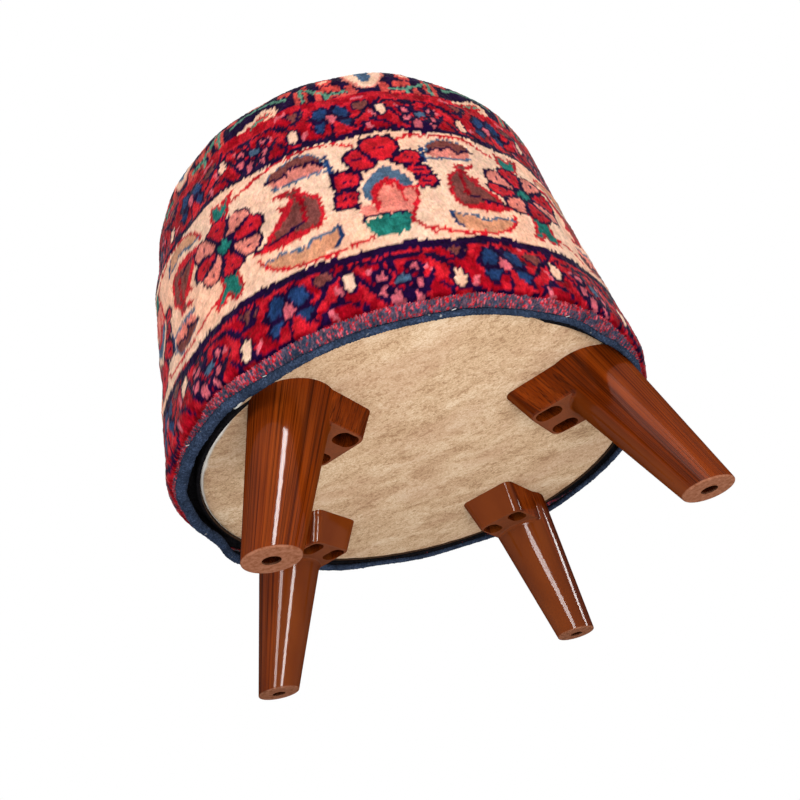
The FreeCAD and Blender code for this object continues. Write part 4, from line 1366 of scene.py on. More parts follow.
@dataclass
class RugBody:
    """The form that the rug takes: a drum that flares towards its front left, with a rolled lower edge."""

    rim_radius: float = 199.5
    shoulder_radius: float = 197.4
    rim_height: float = 117.0
    shoulder_height: float = 381.0
    shoulder_round: float = 44.0
    base_offset: tuple[float, float] = (-9.9, -19.0)
    shoulder_offset: tuple[float, float] = (-6.7, 1.5)
    curl_height: float = 130.0
    curl_radius: float = 15.0
    far_lift: float = 14.0
    crown: float = 12.0
    peak_angle: float = 271.0
    peak_width: float = 11.0
    peak_rise: float = 6.0
    bulge_angle: float = 190.0
    bulge_height: float = 295.0
    bulge_out: float = 4.0
    bulge_wide: float = 35.0
    bulge_tall: float = 55.0
    lump_out: float = 0.9
    lump_up: float = 0.8
    flare_least: float = 0.25
    curl_least: float = 0.3
    least_depth: float = 3.0
    along_start: float = 178.0
    along_radius: float = 199.0
    seed: int = 11

    @property
    def seam_height(self) -> float:
        """Where the band ends, measured up the rug."""
        return self.shoulder_height + self.shoulder_round * math.pi / 2

    def along(self, angle: Array) -> Array:
        """Measures round the drum from its left side, with the seam at the back as the join.

        Args:
            angle: Angles in radians.

        Returns:
            Millimetres.
        """
        turned = np.degrees(angle)
        turned = np.where(turned < 90.0, turned + 360.0, turned)
        return np.radians(turned - self.along_start) * self.along_radius

    def _ahead(self, angle: Array) -> Array:
        """How far angles lie towards the lean, from -1 to 1."""
        return np.cos(angle - math.atan2(self.base_offset[1], self.base_offset[0]))

    def flare(self, angle: Array) -> Array:
        """How much of the lean shows at an angle: all at the front, a little at the back."""
        return self.flare_least + (1 - self.flare_least) * ease((self._ahead(angle) + 0.75) / 0.5)

    def curl(self, angle: Array) -> Array:
        """How far the lower edge rolls under at an angle: all the way at the front, less at the back."""
        return self.curl_least + (1 - self.curl_least) * ease((self._ahead(angle) + 0.7) / 0.8)

    def surface(self, angle: Array, up: Array | float, sink: float = 0.0) -> Array:
        """Points on the rug's face.

        Args:
            angle: Angles in radians.
            up: Places up the rug in millimetres, which are heights on the straight side.
            sink: How far under the face the points lie.

        Returns:
            Points, with X, Y and Z last.
        """
        share = np.clip((up - self.rim_height) / (self.shoulder_height - self.rim_height), 0, 1)
        bend = np.clip((up - self.shoulder_height) / self.shoulder_round, 0, math.pi / 2)
        over = self.shoulder_round - sink
        wall = self.rim_radius + (self.shoulder_radius - self.rim_radius) * share
        radius = wall - self.shoulder_round + np.where(bend > 0, over * np.cos(bend), over)
        height = np.minimum(up, self.shoulder_height) + np.where(bend > 0, over * np.sin(bend), 0.0)
        roll = self.curl(angle)
        low = np.clip((self.curl_height - up) / self.curl_radius, 0, None) * roll
        under = self.curl_radius / roll - sink
        radius = radius - under * (1 - np.cos(low))
        height = np.where(low > 0, self.curl_height - under * np.sin(low), height)
        height = height + self.far_lift * (1 - roll) / (1 - self.curl_least) * (1 - share)
        off_peak = short_way(np.degrees(angle) - self.peak_angle, 360.0)
        height = height + self.peak_rise * np.exp(-((off_peak / self.peak_width) ** 2)) * ease(bend / 0.5)
        inner = radius - self.least_depth
        off_bulge = short_way(np.degrees(angle) - self.bulge_angle, 360.0)
        rise = (up - self.bulge_height) / self.bulge_tall
        radius = radius + self.bulge_out * np.exp(-((off_bulge / self.bulge_wide) ** 2) - rise**2)
        rng = np.random.default_rng(self.seed)
        radius = radius + self.lump_out * lumps(rng, angle, up, 22, 9) * (1 - bend / 2)
        height = height + self.lump_up * lumps(rng, angle, up * 0.2, 16, 7) * np.cos(bend)
        return self._leaning(angle, share, radius, height, inner)

    def _leaning(self, angle: Array, share: Array, radius: Array, height: Array, inner: Array) -> Array:
        """Leans the drum, and keeps its face outside the padding.

        Args:
            angle: Angles in radians.
            share: Places from the rim, 0, to the shoulder, 1.
            radius: Distances from the drum's own axis.
            height: Heights.
            inner: The least distances from the frame's axis.

        Returns:
            Points, with X, Y and Z last.
        """
        lean = self.flare(angle)
        across, along = (
            (base * (1 - share) + shoulder * share) * lean
            for base, shoulder in zip(self.base_offset, self.shoulder_offset)
        )
        x = radius * np.cos(angle) + across
        y = radius * np.sin(angle) + along
        push = np.maximum(inner / np.hypot(x, y), 1.0)
        return np.stack(np.broadcast_arrays(x * push, y * push, height), axis=-1)


def normals_of(grid: Array) -> Array:
    """Outward directions at the points of a grid that closes round the drum.

    Args:
        grid: Rows of points.

    Returns:
        A unit direction for each point.
    """
    round_drum = np.roll(grid, -1, axis=1) - np.roll(grid, 1, axis=1)
    upward = np.gradient(grid, axis=0)
    direction = np.cross(round_drum, upward)
    return direction / np.maximum(np.linalg.norm(direction, axis=-1, keepdims=True), 1e-9)


class Seed(Enum):
    """Seeds of the pieces' unevenness."""

    BAND = 21
    STRIP = 31
    SEAT = 41
    PANEL = 51
    LINING = 61
    STAPLES = 71


@dataclass
class Rug:
    """The rug's pieces: band, top panel, edge strip, selvedge and seams."""

    body: RugBody = field(default_factory=RugBody)
    pattern: RugPattern = field(default_factory=RugPattern)
    seat_knot: float = 2.3
    knot_width: float = 1.72
    knot_height: float = 2.55
    knot_jitter: float = 0.28
    knot_relief: float = 0.17
    edge_jitter: float = 0.9
    painted_edge_shade: float = 0.62
    seam_width: float = 4.0
    seam_sink: float = 2.2
    pile_foot: float = 120.3
    pile_low: float = 115.0
    front: float = 265.0
    strip_foot: float = 110.6
    strip_cut: float = 11.0
    strip_tuck: float = 2.5
    strip_sink: float = 1.2
    stitch_width: float = 0.95
    selvedge_at: float = 108.4
    selvedge_radius: float = 2.3
    selvedge_swell: float = 1.8
    swell_angle: float = 172.0
    leg_reach: float = 192.4
    leg_play: float = 0.4
    leg_swing: float = 13.0
    wrap_pitch: float = 2.2
    panel_radius: float = 150.5
    bead_radius: float = 2.2
    bead_pitch: float = 3.4
    bead_inset: float = 1.5
    middle_lean: float = 0.7
    seat_relief: float = 0.34
    seat_wave: float = 0.7
    seat_tuck: float = 1.0
    thickness: float = 7.0

    def build(self) -> list[Piece]:
        """Makes and dresses every piece.

        Returns:
            The pieces.
        """
        pile = WoolPile().make()
        denim = WoundWool("wound_selvedge", Dye.DENIM.value).make()
        thread = WoundWool("seam_thread", (46, 40, 66), 900.0).make()
        band = self._band(pile)
        strip = self._edge_strip()
        selvedge = self._selvedge(denim)
        top = self._top(pile)
        bead = self._bead(thread)
        stitches = self._back_stitches(thread)
        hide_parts("rug_band", "back_seam")
        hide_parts("selvedge")
        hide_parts("rug_top")
        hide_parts("top_seam")
        return [band, strip, selvedge, top, bead, stitches]

    def pile_edge(self, angle: Array) -> Array:
        """Where the pile ends, up the rug: higher at the front, where the stitched strip shows."""
        share = ease((np.cos(angle - math.radians(self.front)) - 0.45) / 0.4)
        return self.pile_low + (self.pile_foot - self.pile_low) * share

    def selvedge_size(self, angle: Array) -> Array:
        """The selvedge's radius at angles: it swells where it stands off at the left."""
        swell = ease(np.cos(angle - math.radians(self.swell_angle)))
        return self.selvedge_radius + self.selvedge_swell * swell

    def _band(self, finish: Material) -> Piece:
        """The knotted side: one quad for each knot, in its own dye.

        Args:
            finish: Its material.

        Returns:
            The piece.
        """
        columns = int(FULL_TURN * self.body.rim_radius / self.knot_width)
        rows = int((self.body.seam_height - self.pile_foot) / self.knot_height) + 1
        rng = np.random.default_rng(Seed.BAND.value)
        angle = (BACK + FULL_TURN * np.arange(columns) / columns)[None, :]
        edge = self.pile_edge(angle)
        up = edge + (self.body.seam_height - edge) * np.linspace(0, 1, rows)[:, None]
        angles = angle + rng.normal(0, self.knot_jitter, (rows, columns)) / self.body.rim_radius
        heights = up + rng.normal(0, self.knot_jitter, (rows, columns))
        heights[0] = up[0] + rng.normal(0, self.edge_jitter, columns)
        heights[-1] = up[-1]
        grid = self.body.surface(angles, heights)
        off_seam = short_way(angle - BACK, FULL_TURN) * self.body.rim_radius
        seam = np.exp(-((off_seam / self.seam_width) ** 2))
        relief = rng.normal(0, self.knot_relief, (rows, columns)) - self.seam_sink * seam
        relief[0] = -self.seam_sink
        grid = grid + normals_of(grid) * relief[..., None]
        piece = mesh_piece("rug_band_pile", grid.reshape(-1, 3), grid_faces(rows, columns, True), finish)
        turned = (angle + np.zeros((rows, 1))) % FULL_TURN
        colours = self.pattern.side(self.body.along(turned), up).reshape(rows, columns, 3)
        # Painted shade: the two lowest rows of knots are darkened where the pile steps down to the strip.
        colours[:2] *= self.painted_edge_shade
        paint_points(piece, colours.reshape(-1, 3))
        return piece

    def _edge_strip(self) -> Piece:
        """The flat strip between pile and selvedge, with short upright stitches.

        Returns:
            The piece.
        """
        columns = int(FULL_TURN * self.body.rim_radius / self.stitch_width)
        rows = 13
        rng = np.random.default_rng(Seed.STRIP.value)
        angle = (FULL_TURN * np.arange(columns) / columns)[None, :]
        place = np.linspace(0, 1, rows)[:, None]
        top = self.pile_edge(angle) + self.strip_tuck
        up = self.strip_foot + (top - self.strip_foot) * place
        grid = self.body.surface(angle, up, self.strip_sink)
        ridge = 0.3 * np.cos(np.arange(columns) * math.pi)[None, :] * np.ones((rows, 1))
        grid = grid + normals_of(grid) * (ridge + rng.normal(0, 0.16, (rows, columns)))[..., None]
        finish = WoolPile("edge_strip", fibre_scale=1400.0, depth=0.0008).make()
        piece = mesh_piece("rug_edge_strip", grid.reshape(-1, 3), grid_faces(rows, columns, True), finish)
        loose = rng.normal(0, 1, (rows, columns))
        dash = (loose + np.roll(loose, 1, axis=0) + np.roll(loose, -1, axis=0)) / math.sqrt(3)
        patch = np.sin(angle * 7 + 1.0) * np.sin(angle * 17)
        score = dash + 0.9 * (place - 0.5) + 0.35 * patch
        tones = np.array([linear(*dye.value)[:3] for dye in (Dye.DENIM, Dye.MAUVE, Dye.RED, Dye.PINK)])
        index = np.digitize(score, (-0.7, 0.55, 1.25))
        colours = tones[index] * rng.normal(0.92, 0.1, (rows, columns, 1))
        paint_points(piece, np.clip(colours.reshape(-1, 3), 0, 1))
        return piece

    def selvedge_line(self, angle: Array) -> Array:
        """The middle of the selvedge, pushed out of the way of the legs.

        Args:
            angle: Angles in radians.

        Returns:
            Points, with X, Y and Z last.
        """
        line = self.body.surface(angle, self.selvedge_at)
        for leg in LEG_ANGLES.values():
            swing = short_way(angle - math.radians(leg), FULL_TURN)
            reach = np.hypot(line[..., 0], line[..., 1])
            wanted = self.leg_reach + self.selvedge_size(angle) + self.leg_play
            near = np.exp(-((swing / math.radians(self.leg_swing)) ** 4))
            push = np.clip(wanted - reach, 0, None) * near
            line[..., 0] += push * np.cos(angle)
            line[..., 1] += push * np.sin(angle)
        return line

    def _selvedge(self, finish: Material) -> Piece:
        """The lower edge wound over with wool, turn by turn.

        Args:
            finish: Its material.

        Returns:
            The piece.
        """
        angle = self._yarn_angles(self.body.rim_radius, self.wrap_pitch)
        line, size = self.selvedge_line(angle), self.selvedge_size(angle)
        return self._wound_ring("rug_selvedge", angle, line, size, finish)

    def _yarn_angles(self, radius: float, pitch: float) -> Array:
        """Angles round a ring of yarn, some for each of its turns."""
        count = int(FULL_TURN * radius / pitch) * YARN_STEPS
        return FULL_TURN * np.arange(count) / count

    def _bead(self, finish: Material) -> Piece:
        """The sewn bead round the seat's panel.

        Args:
            finish: Its material.

        Returns:
            The piece.
        """
        angle = self._yarn_angles(self.panel_radius, self.bead_pitch)
        line = self.body.surface(angle, self.body.seam_height) - self.bead_inset * outward_of(angle)
        return self._wound_ring("rug_top_seam", angle, line, np.full_like(angle, self.bead_radius), finish)

    def _wound_ring(self, name: str, angle: Array, line: Array, size: Array, finish: Material) -> Piece:
        """A ring of wound yarn.

        Args:
            name: The piece's name.
            angle: Angles round it in radians.
            line: The ring's middle at the angles.
            size: The ring's radius at the angles.
            finish: Its material.

        Returns:
            The piece.
        """
        sides = 12
        size_spread = 0.05
        slant = 1.6
        groove, ridge_rise = 0.9, 0.16
        columns = len(angle)
        turns = columns // YARN_STEPS
        rng = np.random.default_rng(turns)
        ahead = np.roll(line, -1, axis=0) - np.roll(line, 1, axis=0)
        ahead /= np.linalg.norm(ahead, axis=1, keepdims=True)
        outward = outward_of(angle)
        upward = np.cross(outward, ahead)
        spin = (FULL_TURN * np.arange(sides) / sides)[:, None]
        turn_size = np.repeat(rng.normal(1.0, size_spread, turns), YARN_STEPS)
        twist = spin / FULL_TURN * slant
        wave = np.sin(math.pi * (np.arange(columns)[None, :] / YARN_STEPS + twist))
        reach = size * (groove + ridge_rise * np.abs(wave)) * turn_size[None, :]
        round_line = np.cos(spin)[..., None] * outward[None] + np.sin(spin)[..., None] * upward[None]
        grid = line[None] + reach[..., None] * round_line
        faces = grid_faces(sides + 1, columns, True) % (sides * columns)
        return mesh_piece(name, grid.reshape(-1, 3), faces, finish)

    def _seat_knots(self) -> tuple[Array, Array, Array, Array]:
        """A square field of knots that is cut round.

        Returns:
            X and Y of each knot, the quads, and which knots lie on the cut.
        """
        half = int(self.panel_radius / self.seat_knot) + 1
        steps = np.arange(-half, half + 1) * self.seat_knot
        x, y = np.meshgrid(steps, steps)
        faces = grid_faces(len(steps), len(steps), False)
        centre_x = x.ravel()[faces].mean(axis=1)
        centre_y = y.ravel()[faces].mean(axis=1)
        kept = np.hypot(centre_x, centre_y) < self.panel_radius - self.seat_knot * 0.7
        used, faces = np.unique(faces[kept], return_inverse=True)
        faces = faces.reshape(-1, 4)
        x, y = x.ravel()[used], y.ravel()[used]
        uses = np.bincount(faces.ravel(), minlength=len(used))
        rim = (uses < 4) & (np.hypot(x, y) > self.panel_radius * 0.9)
        return x, y, faces, rim

    def _seat_shift(self, angle: Array, share: Array) -> Array:
        """How far the seat's knots move to follow the band's seam.

        Args:
            angle: Their angles in radians.
            share: Their places from the middle, 0, to the seam, 1.

        Returns:
            X and Y of each move.
        """
        radius = self.body.shoulder_radius - self.body.shoulder_round
        at_seam = (self.body.surface(angle, self.body.seam_height) - radius * outward_of(angle))[:, :2]
        in_middle = self.middle_lean * np.array(self.body.shoulder_offset)
        return at_seam * share[:, None] + in_middle * (1 - share[:, None])

    def _top(self, finish: Material) -> Piece:
        """The crowned seat panel, with its rim tucked under the bead.

        Args:
            finish: Its material.

        Returns:
            The piece.
        """
        rng = np.random.default_rng(Seed.SEAT.value)
        x, y, faces, rim = self._seat_knots()
        colours = self.pattern.top(x, y)
        scale = np.where(rim, self.panel_radius / np.maximum(np.hypot(x, y), 1e-9), 1.0)
        x, y = x * scale, y * scale
        share = np.hypot(x, y) / self.panel_radius
        shift = self._seat_shift(np.arctan2(y, x), share)
        floor = self.body.shoulder_height + self.body.shoulder_round
        height = floor + self.body.crown * (1 - share**2)
        wave = self.seat_wave * np.sin(x / 31.0) * np.cos(y / 27.0)
        height += rng.normal(0, self.seat_relief, x.shape) + wave
        jitter = np.where(rim, 0.0, self.knot_jitter)
        across = x + shift[:, 0] + rng.normal(0, 1, x.shape) * jitter
        along = y + shift[:, 1] + rng.normal(0, 1, x.shape) * jitter
        points = np.stack([across, along, np.where(rim, floor - self.seat_tuck, height)], axis=1)
        piece = mesh_piece("rug_top_pile", points, faces, finish)
        paint_points(piece, colours)
        return piece

    def _back_stitches(self, finish: Material) -> Piece:
        """The ladder of stitches that closes the band at the back.

        Args:
            finish: Its material.

        Returns:
            The piece.
        """
        pitch, half, slant, wire = 7.5, 4.6, 1.6, 0.9
        first, margin = 6, 8
        share = np.linspace(-1, 1, 9)
        angle = BACK + share * half / self.body.rim_radius
        outward = outward_of(angle)
        upward = np.tile([0.0, 0.0, 1.0], (len(share), 1))
        dip = outward * (1.0 - 2.4 * share[:, None] ** 4 - wire)
        lines = []
        for number in range(int((self.body.seam_height - self.pile_foot - margin) / pitch)):
            up = self.pile_foot + first + number * pitch + share * slant
            lines.append((self.body.surface(angle, up) + dip, outward, upward))
        return mesh_piece("rug_back_stitches", *wires(lines, wire), finish)


@dataclass
class Underside:
    """The base panel, the black lining in the gap round it, and the staples in the rug's edge."""

    rug: Rug
    radius: float = 185.0
    face: float = 127.0
    roll: float = 4.6
    rise: float = 140.6
    drum_radius: float = 188.2
    skirt: float = 11.0
    skirt_drop: float = 0.5
    skirt_start: float = 150.0
    drop_start: float = 140.0
    turned_in: float = 10.0
    skirt_angles: tuple[float, float, float, float] = (207.0, 232.0, 276.0, 302.0)
    lining_top: float = 143.0
    lining_under: float = 126.8
    lining_cut: float = 50.0
    lining_inside: float = 150.0
    lining_fold: float = 0.7
    staple_angles: tuple[float, ...] = (19, 45, 72, 98, 125, 150, 176, 202.5, 230, 269, 294.5, 320, 345)
    staple_width: float = 3.6
    staple_wire: float = 0.42

    def build(self) -> list[Piece]:
        """Makes and dresses every piece.

        Returns:
            The pieces.
        """
        panel = self._panel()
        lining = self._lining()
        staples = self._staples()
        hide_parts("base_cover")
        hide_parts("rim_lining")
        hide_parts("rug_staples")
        cut = 2 * (self.radius + self.rise - self.face + self.turned_in) * MM
        math.pi * cut**2 / 4
        self.lining_cut * MM
        return [panel, lining, staples]

    def _panel(self) -> Piece:
        """The beige sheet, drawn tight over the board with faint puckers at its edge.

        Returns:
            The piece.
        """
        columns, rows = 240, 56
        angle = (FULL_TURN * np.arange(columns) / columns)[None, :]
        straight = self.radius - self.roll
        flat = np.linspace(3.0, straight, rows)
        bend = np.linspace(0, math.pi / 2, 8)[1:]
        radius = np.concatenate([flat, straight + self.roll * np.sin(bend), [self.radius]])[:, None]
        rolled = self.roll * (1 - np.cos(bend))
        height = np.concatenate([np.zeros(rows), rolled, [self.rise - self.face]])[:, None]
        near_rug = self.meets_rug(angle)
        outer = np.clip((radius - self.skirt_start) / (self.radius - self.skirt_start), 0, 1)
        spread = radius + self.skirt * near_rug * outer**2
        rng = np.random.default_rng(Seed.PANEL.value)
        pucker = np.clip(lumps(rng, angle, np.zeros((1, 1)), 60, 8), 0, None) * 0.35
        near_edge = np.exp(-(((radius - self.radius + 3.0) / 14.0) ** 2))
        ripple = np.clip(lumps(rng, angle, radius, 7, 6), 0, None)
        soft = 0.25 * ripple * np.clip(radius / 60.0, 0, 1) * (radius < self.radius - 8)
        height = np.where(height > self.roll, height, height * (1 - near_rug))
        lift = self.face + height + (pucker * near_edge + soft) * (1 - near_rug)
        lift = lift - self.skirt_drop * near_rug * ease((radius - self.drop_start) / 30.0)
        grid = np.stack(np.broadcast_arrays(spread * np.cos(angle), spread * np.sin(angle), lift), -1)
        points = np.concatenate([grid.reshape(-1, 3), [[0.0, 0.0, self.face]]])
        hub = len(points) - 1
        centre = [(hub, (number + 1) % columns, number) for number in range(columns)]
        quads = grid_faces(len(radius), columns, True)
        finish = SuedeSheet(face=self.face).make()
        return mesh_piece("base_panel", points, [*quads.tolist(), *centre], finish)

    def meets_rug(self, angle: Array) -> Array:
        """Where the sheet's edge lies against the rug.

        Args:
            angle: Angles in radians.

        Returns:
            1 at the front, and 0 at the left, right and back.
        """
        start, full, fading, end = self.skirt_angles
        turned = np.degrees(angle) % 360.0
        return ease((turned - start) / (full - start)) * ease((end - turned) / (end - fading))

    def _lining(self) -> Piece:
        """Black cloth from the rug's edge up inside it, across to the drum and down under its edge.

        Returns:
            The piece.
        """
        columns = 420
        rng = np.random.default_rng(Seed.LINING.value)
        angle = FULL_TURN * np.arange(columns) / columns
        outward = outward_of(angle)
        edge = self.rug.selvedge_line(angle)
        inside = self.rug.body.surface(angle, self.lining_inside, self.rug.thickness)
        inside[:, 2] = self.lining_top - 3.0
        drum = outward * self.drum_radius
        drum[:, 2] = self.lining_top
        rows = [edge + (inside - edge) * share for share in np.linspace(0, 1, 8)]
        rows += [inside + (drum - inside) * share for share in (0.25, 0.6, 0.9)]
        for radius, height in (
            (self.drum_radius, self.lining_top - 4.0),
            (self.drum_radius, self.lining_top - 8.0),
            (self.drum_radius, self.face + 0.4),
            (self.drum_radius - 0.5, self.lining_under),
            (self.radius + 0.4, self.lining_under),
        ):
            rows.append(outward * radius + np.array([0.0, 0.0, height]))
        grid = np.stack(rows)
        place = np.linspace(0, 1, len(rows))[:, None]
        fold = lumps(rng, angle[None, :], place * 30, 70, 9) * np.sin(math.pi * np.clip(place * 1.5, 0, 1))
        grid += self.lining_fold * fold[..., None] * outward[None]
        faces = grid_faces(len(rows), columns, True)[:, ::-1]
        finish = PlainGrain(
            "black_lining", (8, 8, 10), (34, 32, 35), scale=500.0, rough=0.95, relief=0.0008, gloss=0.0
        )
        return mesh_piece("rug_lining", grid.reshape(-1, 3), faces, finish.make())

    def _staples(self) -> Piece:
        """Bent wire staples that bite into the edge strip.

        Returns:
            The piece.
        """
        share = np.array([-1.0, -1.0, -0.9, -0.6, 0.0, 0.6, 0.9, 1.0, 1.0])
        depth = np.array([-3.0, -1.0, -0.2, 0.1, 0.2, 0.1, -0.2, -1.0, -3.0])
        along, across = 0.8, 0.6
        rng = np.random.default_rng(Seed.STAPLES.value)
        lines = []
        for bearing in self.staple_angles:
            angle = math.radians(bearing) + share * self.staple_width / 2 / self.rug.body.rim_radius
            up = self.rug.strip_foot + rng.uniform(0, 3.0) + share * rng.normal(0, 0.8)
            cos, sin, ones = np.cos(angle), np.sin(angle), np.ones(len(share))
            outward = np.stack([cos * along, sin * along, -across * ones], axis=1)
            upward = np.stack([cos * across, sin * across, along * ones], axis=1)
            lines.append((self.rug.body.surface(angle, up) + outward * depth[:, None], outward, upward))
        finish = BareMetal("staple_wire", (190, 190, 192), (235, 235, 236), scale=900.0)
        return mesh_piece("edge_staples", *wires(lines, self.staple_wire), finish.make())


@dataclass
class Framework:
    """The CAD nodes that stay: legs, screws, boards, posts, drum and padding."""

    nodes: dict[str, Piece]

    def dress(self) -> int:
        """Gives each node that stays its finish.

        Returns:
            How many nodes were dressed.
        """
        steel = BareMetal("plated_steel", (150, 150, 152), (205, 205, 208), scale=300.0, rough=0.35)
        plywood = PlainGrain("plywood", (176, 132, 84), (214, 174, 124), (1, 0.12, 1), 140.0)
        timber = PlainGrain("timber", (186, 146, 96), (224, 190, 142), (1, 1, 0.06), 160.0)
        hardboard = PlainGrain("hardboard", (48, 34, 26), (86, 64, 48), scale=420.0)
        wadding = PlainGrain(
            "wadding", (196, 194, 186), (232, 230, 224), scale=260.0, rough=0.95, relief=0.002
        )
        foam = PlainGrain("foam", (206, 190, 142), (236, 224, 182), scale=700.0, rough=0.95, relief=0.001)
        uses: list[tuple[PlainGrain | WoodPrint, tuple[str, ...]]] = [
            (steel, ("leg_screws", "cover_staples", "post_screws", "drum_pins")),
            (plywood, ("base_board", "top_board")),
            (timber, ("frame_post",)),
            (hardboard, ("drum_panel",)),
            (wadding, ("side_padding",)),
            (foam, ("seat_foam",)),
        ]
        uses += [(WoodPrint(f"wood_print_{leg}", bearing), (leg,)) for leg, bearing in LEG_ANGLES.items()]
        dressed = 0
        for finish, starts in uses:
            material = finish.make()
            for name in self.nodes:
                if name.startswith(starts):
                    self.nodes[name].data.materials.clear()
                    self.nodes[name].data.materials.append(material)
                    dressed += 1
        return dressed


class LinkState(Enum):
    """Whether a lamp lights only a leg, or all but that leg."""

    ONLY = "INCLUDE"
    ALL_BUT = "EXCLUDE"


@dataclass(frozen=True)
class Fill:
    """A soft square lamp: place, aim and side in millimetres, watts, and a leg that it leaves in shade."""

    name: str
    place: tuple[float, float, float]
    target: tuple[float, float, float]
    side: float
    power: float
    spared: str | None = None


@dataclass(frozen=True)
class Strip:
    """A bright strip that shows in one leg's gloss: its ends and width in millimetres, and its radiance."""

    name: str
    start: tuple[float, float, float]
    end: tuple[float, float, float]
    leg: str
    width: float
    radiance: float


FILLS = (
    Fill("front", (300, -1060, 1000), (0, -40, 200), 500, 7.5),
    Fill("below", (-60, -690, -500), (0, 0, 130), 500, 7.3),
    Fill("left", (-1500, -650, 560), (0, 0, 200), 600, 9.0, "leg_rear_left"),
    Fill("overhead", (0, 300, 1700), (0, 0, 300), 700, 3.0),
    Fill("back", (500, 1500, 700), (0, 0, 250), 700, 10.0),
)
STRIPS = (
    Strip("strip_front_left", (-79, -537, 554), (-47, -633, 356), "leg_front_left", 100, 84.0),
    Strip("strip_front_right", (97, -673, 446), (-310, -597, 102), "leg_front_right", 320, 3.0),
    Strip("strip_rear_left", (133, -427, -81), (13, -395, -264), "leg_rear_left", 110, 76.0),
    Strip("strip_rear_right", (-121, -409, -141), (9, -375, -311), "leg_rear_right", 200, 54.0),
    Strip("strip_right", (738, 43, 199), (669, -187, -95), "leg_rear_right", 80, 70.0),
    Strip("strip_left", (-700, -1280, -690), (-740, -1300, 300), "leg_rear_left", 320, 40.0),
)


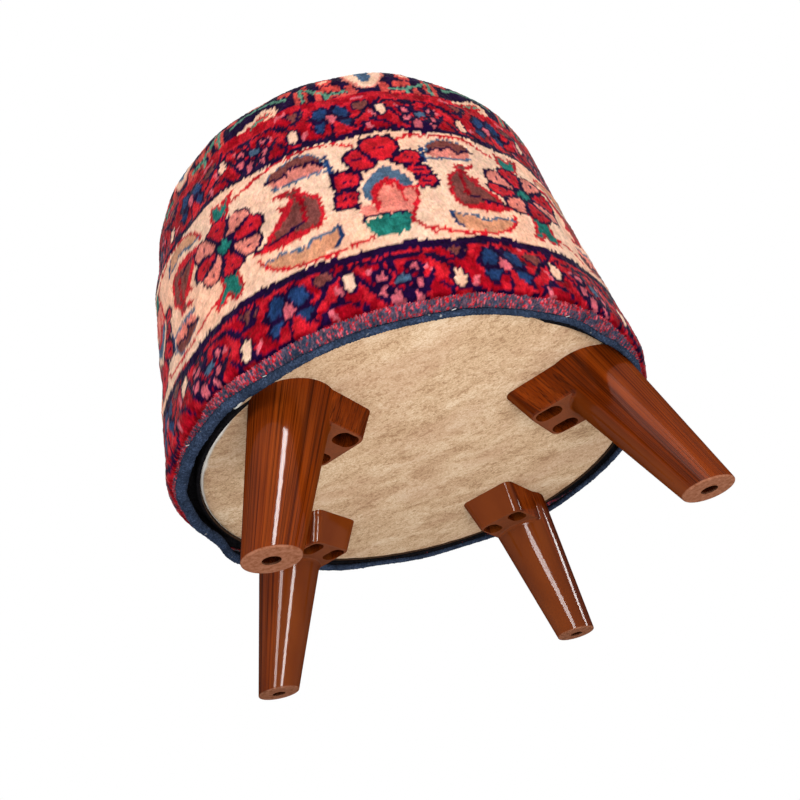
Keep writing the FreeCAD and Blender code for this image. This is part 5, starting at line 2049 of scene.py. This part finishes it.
@dataclass
class Studio:
    """Floor, world, lamps and the camera at the photograph's viewing angle."""

    focus: float = 746.88
    picture: float = 800.0
    sensor: float = 36.0
    eye: tuple[float, float, float] = (-155.592, -545.130, -176.604)
    right: tuple[float, float, float] = (0.96804101, -0.11590831, -0.22240023)
    down: tuple[float, float, float] = (-0.11502097, 0.582836, -0.80440809)
    ahead: tuple[float, float, float] = (0.22286044, 0.80428071, 0.55087726)
    ambient: float = 0.4
    floor_glow: float = 0.5
    leg_middle: tuple[float, float] = (186.0, 45.0)

    def build(self) -> None:
        """Makes the camera, the world, the floor and the lamps."""
        self._camera()
        self._world()
        self._floor()
        for fill in FILLS:
            self._fill(fill)
        for strip in STRIPS:
            self._strip(strip)

    def _camera(self) -> None:
        """The camera, below and in front of the pouf."""
        data = bpy.data.cameras.new("camera")
        data.sensor_fit = "HORIZONTAL"
        data.sensor_width = self.sensor
        data.lens = self.focus / self.picture * self.sensor
        data.clip_start = 0.01
        camera = bpy.data.objects.new("camera", data)
        columns = [Vector(self.right), -Vector(self.down), -Vector(self.ahead)]
        turn = Matrix([[column[axis] for column in columns] for axis in range(3)]).to_4x4()
        camera.matrix_world = Matrix.Translation(Vector(self.eye) * MM) @ turn
        bpy.context.scene.collection.objects.link(camera)
        bpy.context.scene.camera = camera

    def _world(self) -> None:
        """White to the camera and in gloss, and softer as light."""
        world = bpy.data.worlds.new("studio")
        world.use_nodes = True
        nodes = Nodes(world.node_tree)
        background = nodes.find("BACKGROUND")
        background.inputs["Color"].default_value = (1, 1, 1, 1)
        camera = nodes.add("ShaderNodeLightPath", output="Is Camera Ray")
        seen = camera.larger(camera.beside("Is Glossy Ray")).larger(camera.beside("Is Transmission Ray"))
        nodes.feed(background.inputs["Strength"], seen * (1 - self.ambient) + self.ambient)
        bpy.context.scene.world = world
        bpy.context.scene.view_settings.view_transform = "Standard"

    def _floor(self) -> None:
        """A pale floor that is seen from above only, because the camera looks up from under it."""
        reach = 3000.0
        sides = 48
        angle = FULL_TURN * np.arange(sides) / sides
        points = reach * outward_of(angle)
        mesh = bpy.data.meshes.new("floor")
        mesh.from_pydata((points * MM).tolist(), [], [list(range(sides))])
        floor = bpy.data.objects.new("floor", mesh)
        bpy.context.scene.collection.objects.link(floor)
        shader = Shader("pale_floor", {"Roughness": 0.9, "Specular IOR Level": 0.0})
        point = shader.place()
        grain = shader.noise(point, 30.0)
        colour = shader.ramp(grain, (0.3, linear(236, 235, 233)), (0.7, linear(241, 240, 238)))
        shader.link(Base_Color=colour)
        across, along, _ = shader.split(point)
        far = ((across * across + along * along) ** 0.5).between(0.3, 2.4, self.floor_glow, 1.0)
        glow = shader.add("ShaderNodeEmission", None, {"Color": (1, 1, 1, 1), "Strength": 1.0})
        solid = Field(shader, shader.surface.outputs["BSDF"])
        lit = shader.add("ShaderNodeMixShader", None, {0: far, 1: solid, 2: glow})
        behind = shader.add("ShaderNodeNewGeometry", output="Backfacing")
        clear = shader.add("ShaderNodeBsdfTransparent")
        shown = shader.add("ShaderNodeMixShader", None, {0: behind, 1: lit, 2: clear})
        shader.feed(shader.find("OUTPUT_MATERIAL").inputs["Surface"], shown)
        mesh.materials.append(shader.material)
        floor.visible_shadow = False
        floor.visible_diffuse = False
        floor.visible_glossy = False

    def _fill(self, fill: Fill) -> None:
        """Sets up a soft lamp that doesn't show in gloss.

        Args:
            fill: The lamp.
        """
        place = Vector(fill.place)
        size = (fill.side, fill.side)
        facing = Vector(fill.target) - place
        lamp = self._lamp(fill.name, place, facing, Vector((0, 0, 1)), size, fill.power)
        lamp.visible_glossy = False
        if fill.spared:
            self._link(lamp, fill.spared, LinkState.ALL_BUT)

    def _strip(self, strip: Strip) -> None:
        """Sets up a strip that shows in its own leg's gloss and nowhere else.

        Args:
            strip: The strip.
        """
        along = Vector(strip.end) - Vector(strip.start)
        middle = (Vector(strip.start) + Vector(strip.end)) / 2
        bearing = math.radians(LEG_ANGLES[strip.leg])
        radius, height = self.leg_middle
        target = Vector((radius * math.cos(bearing), radius * math.sin(bearing), height))
        power = strip.radiance * math.pi * strip.width * along.length * MM * MM
        size = (strip.width, along.length)
        lamp = self._lamp(strip.name, middle, target - middle, along, size, power)
        lamp.visible_diffuse = False
        self._link(lamp, strip.leg, LinkState.ONLY)

    def _link(self, lamp: Piece, leg: str, state: LinkState) -> None:
        """Keeps a lamp to one leg, or off it.

        Args:
            lamp: The lamp.
            leg: The leg's node.
            state: Which of the two.
        """
        chosen = bpy.data.collections.new(f"{lamp.name}_legs")
        chosen.objects.link(bpy.data.objects[leg])
        chosen.collection_objects[0].light_linking.link_state = state.value
        lamp.light_linking.receiver_collection = chosen

    def _lamp(
        self, name: str, place: Vector, facing: Vector, along: Vector, size: Place, power: float
    ) -> Piece:
        """A rectangular lamp.

        Args:
            name: The lamp's name.
            place: Where it stands, in millimetres.
            facing: Which way it shines.
            along: Which way its height runs.
            size: Its width and height in millimetres.
            power: Its power in watts.

        Returns:
            The lamp.
        """
        data = bpy.data.lights.new(name, "AREA")
        data.shape = "RECTANGLE"
        data.size = size[0] * MM
        data.size_y = size[1] * MM
        data.energy = power
        lamp = bpy.data.objects.new(name, data)
        behind = -facing.normalized()
        across = along.cross(behind).normalized()
        axes = (across, behind.cross(across), behind)
        turn = Matrix([[axis[row] for axis in axes] for row in range(3)]).to_4x4()
        lamp.matrix_world = Matrix.Translation(place * MM) @ turn
        lamp.visible_camera = False
        bpy.context.scene.collection.objects.link(lamp)
        return lamp


def clear_scene() -> None:
    """Takes away what a new Blender file starts with."""
    for item in list(bpy.data.objects):
        bpy.data.objects.remove(item)


def corners(box: tuple[Vector, Vector]) -> list[list[float]]:
    """A box's two corners as plain numbers."""
    return [list(corner) for corner in box]


def main() -> None:
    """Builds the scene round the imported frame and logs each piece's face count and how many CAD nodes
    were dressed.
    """
    logging.basicConfig(level=logging.INFO, format="%(name)s: %(message)s")
    clear_scene()
    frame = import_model()
    Studio().build()
    rug = Rug()
    pieces = rug.build() + Underside(rug).build()
    for piece in pieces:
        LOG.info("%s: %d faces", piece.name, len(piece.data.polygons))
    LOG.info("%d CAD nodes dressed", Framework(frame["nodes"]).dress())


if __name__ == "__main__":
    main()
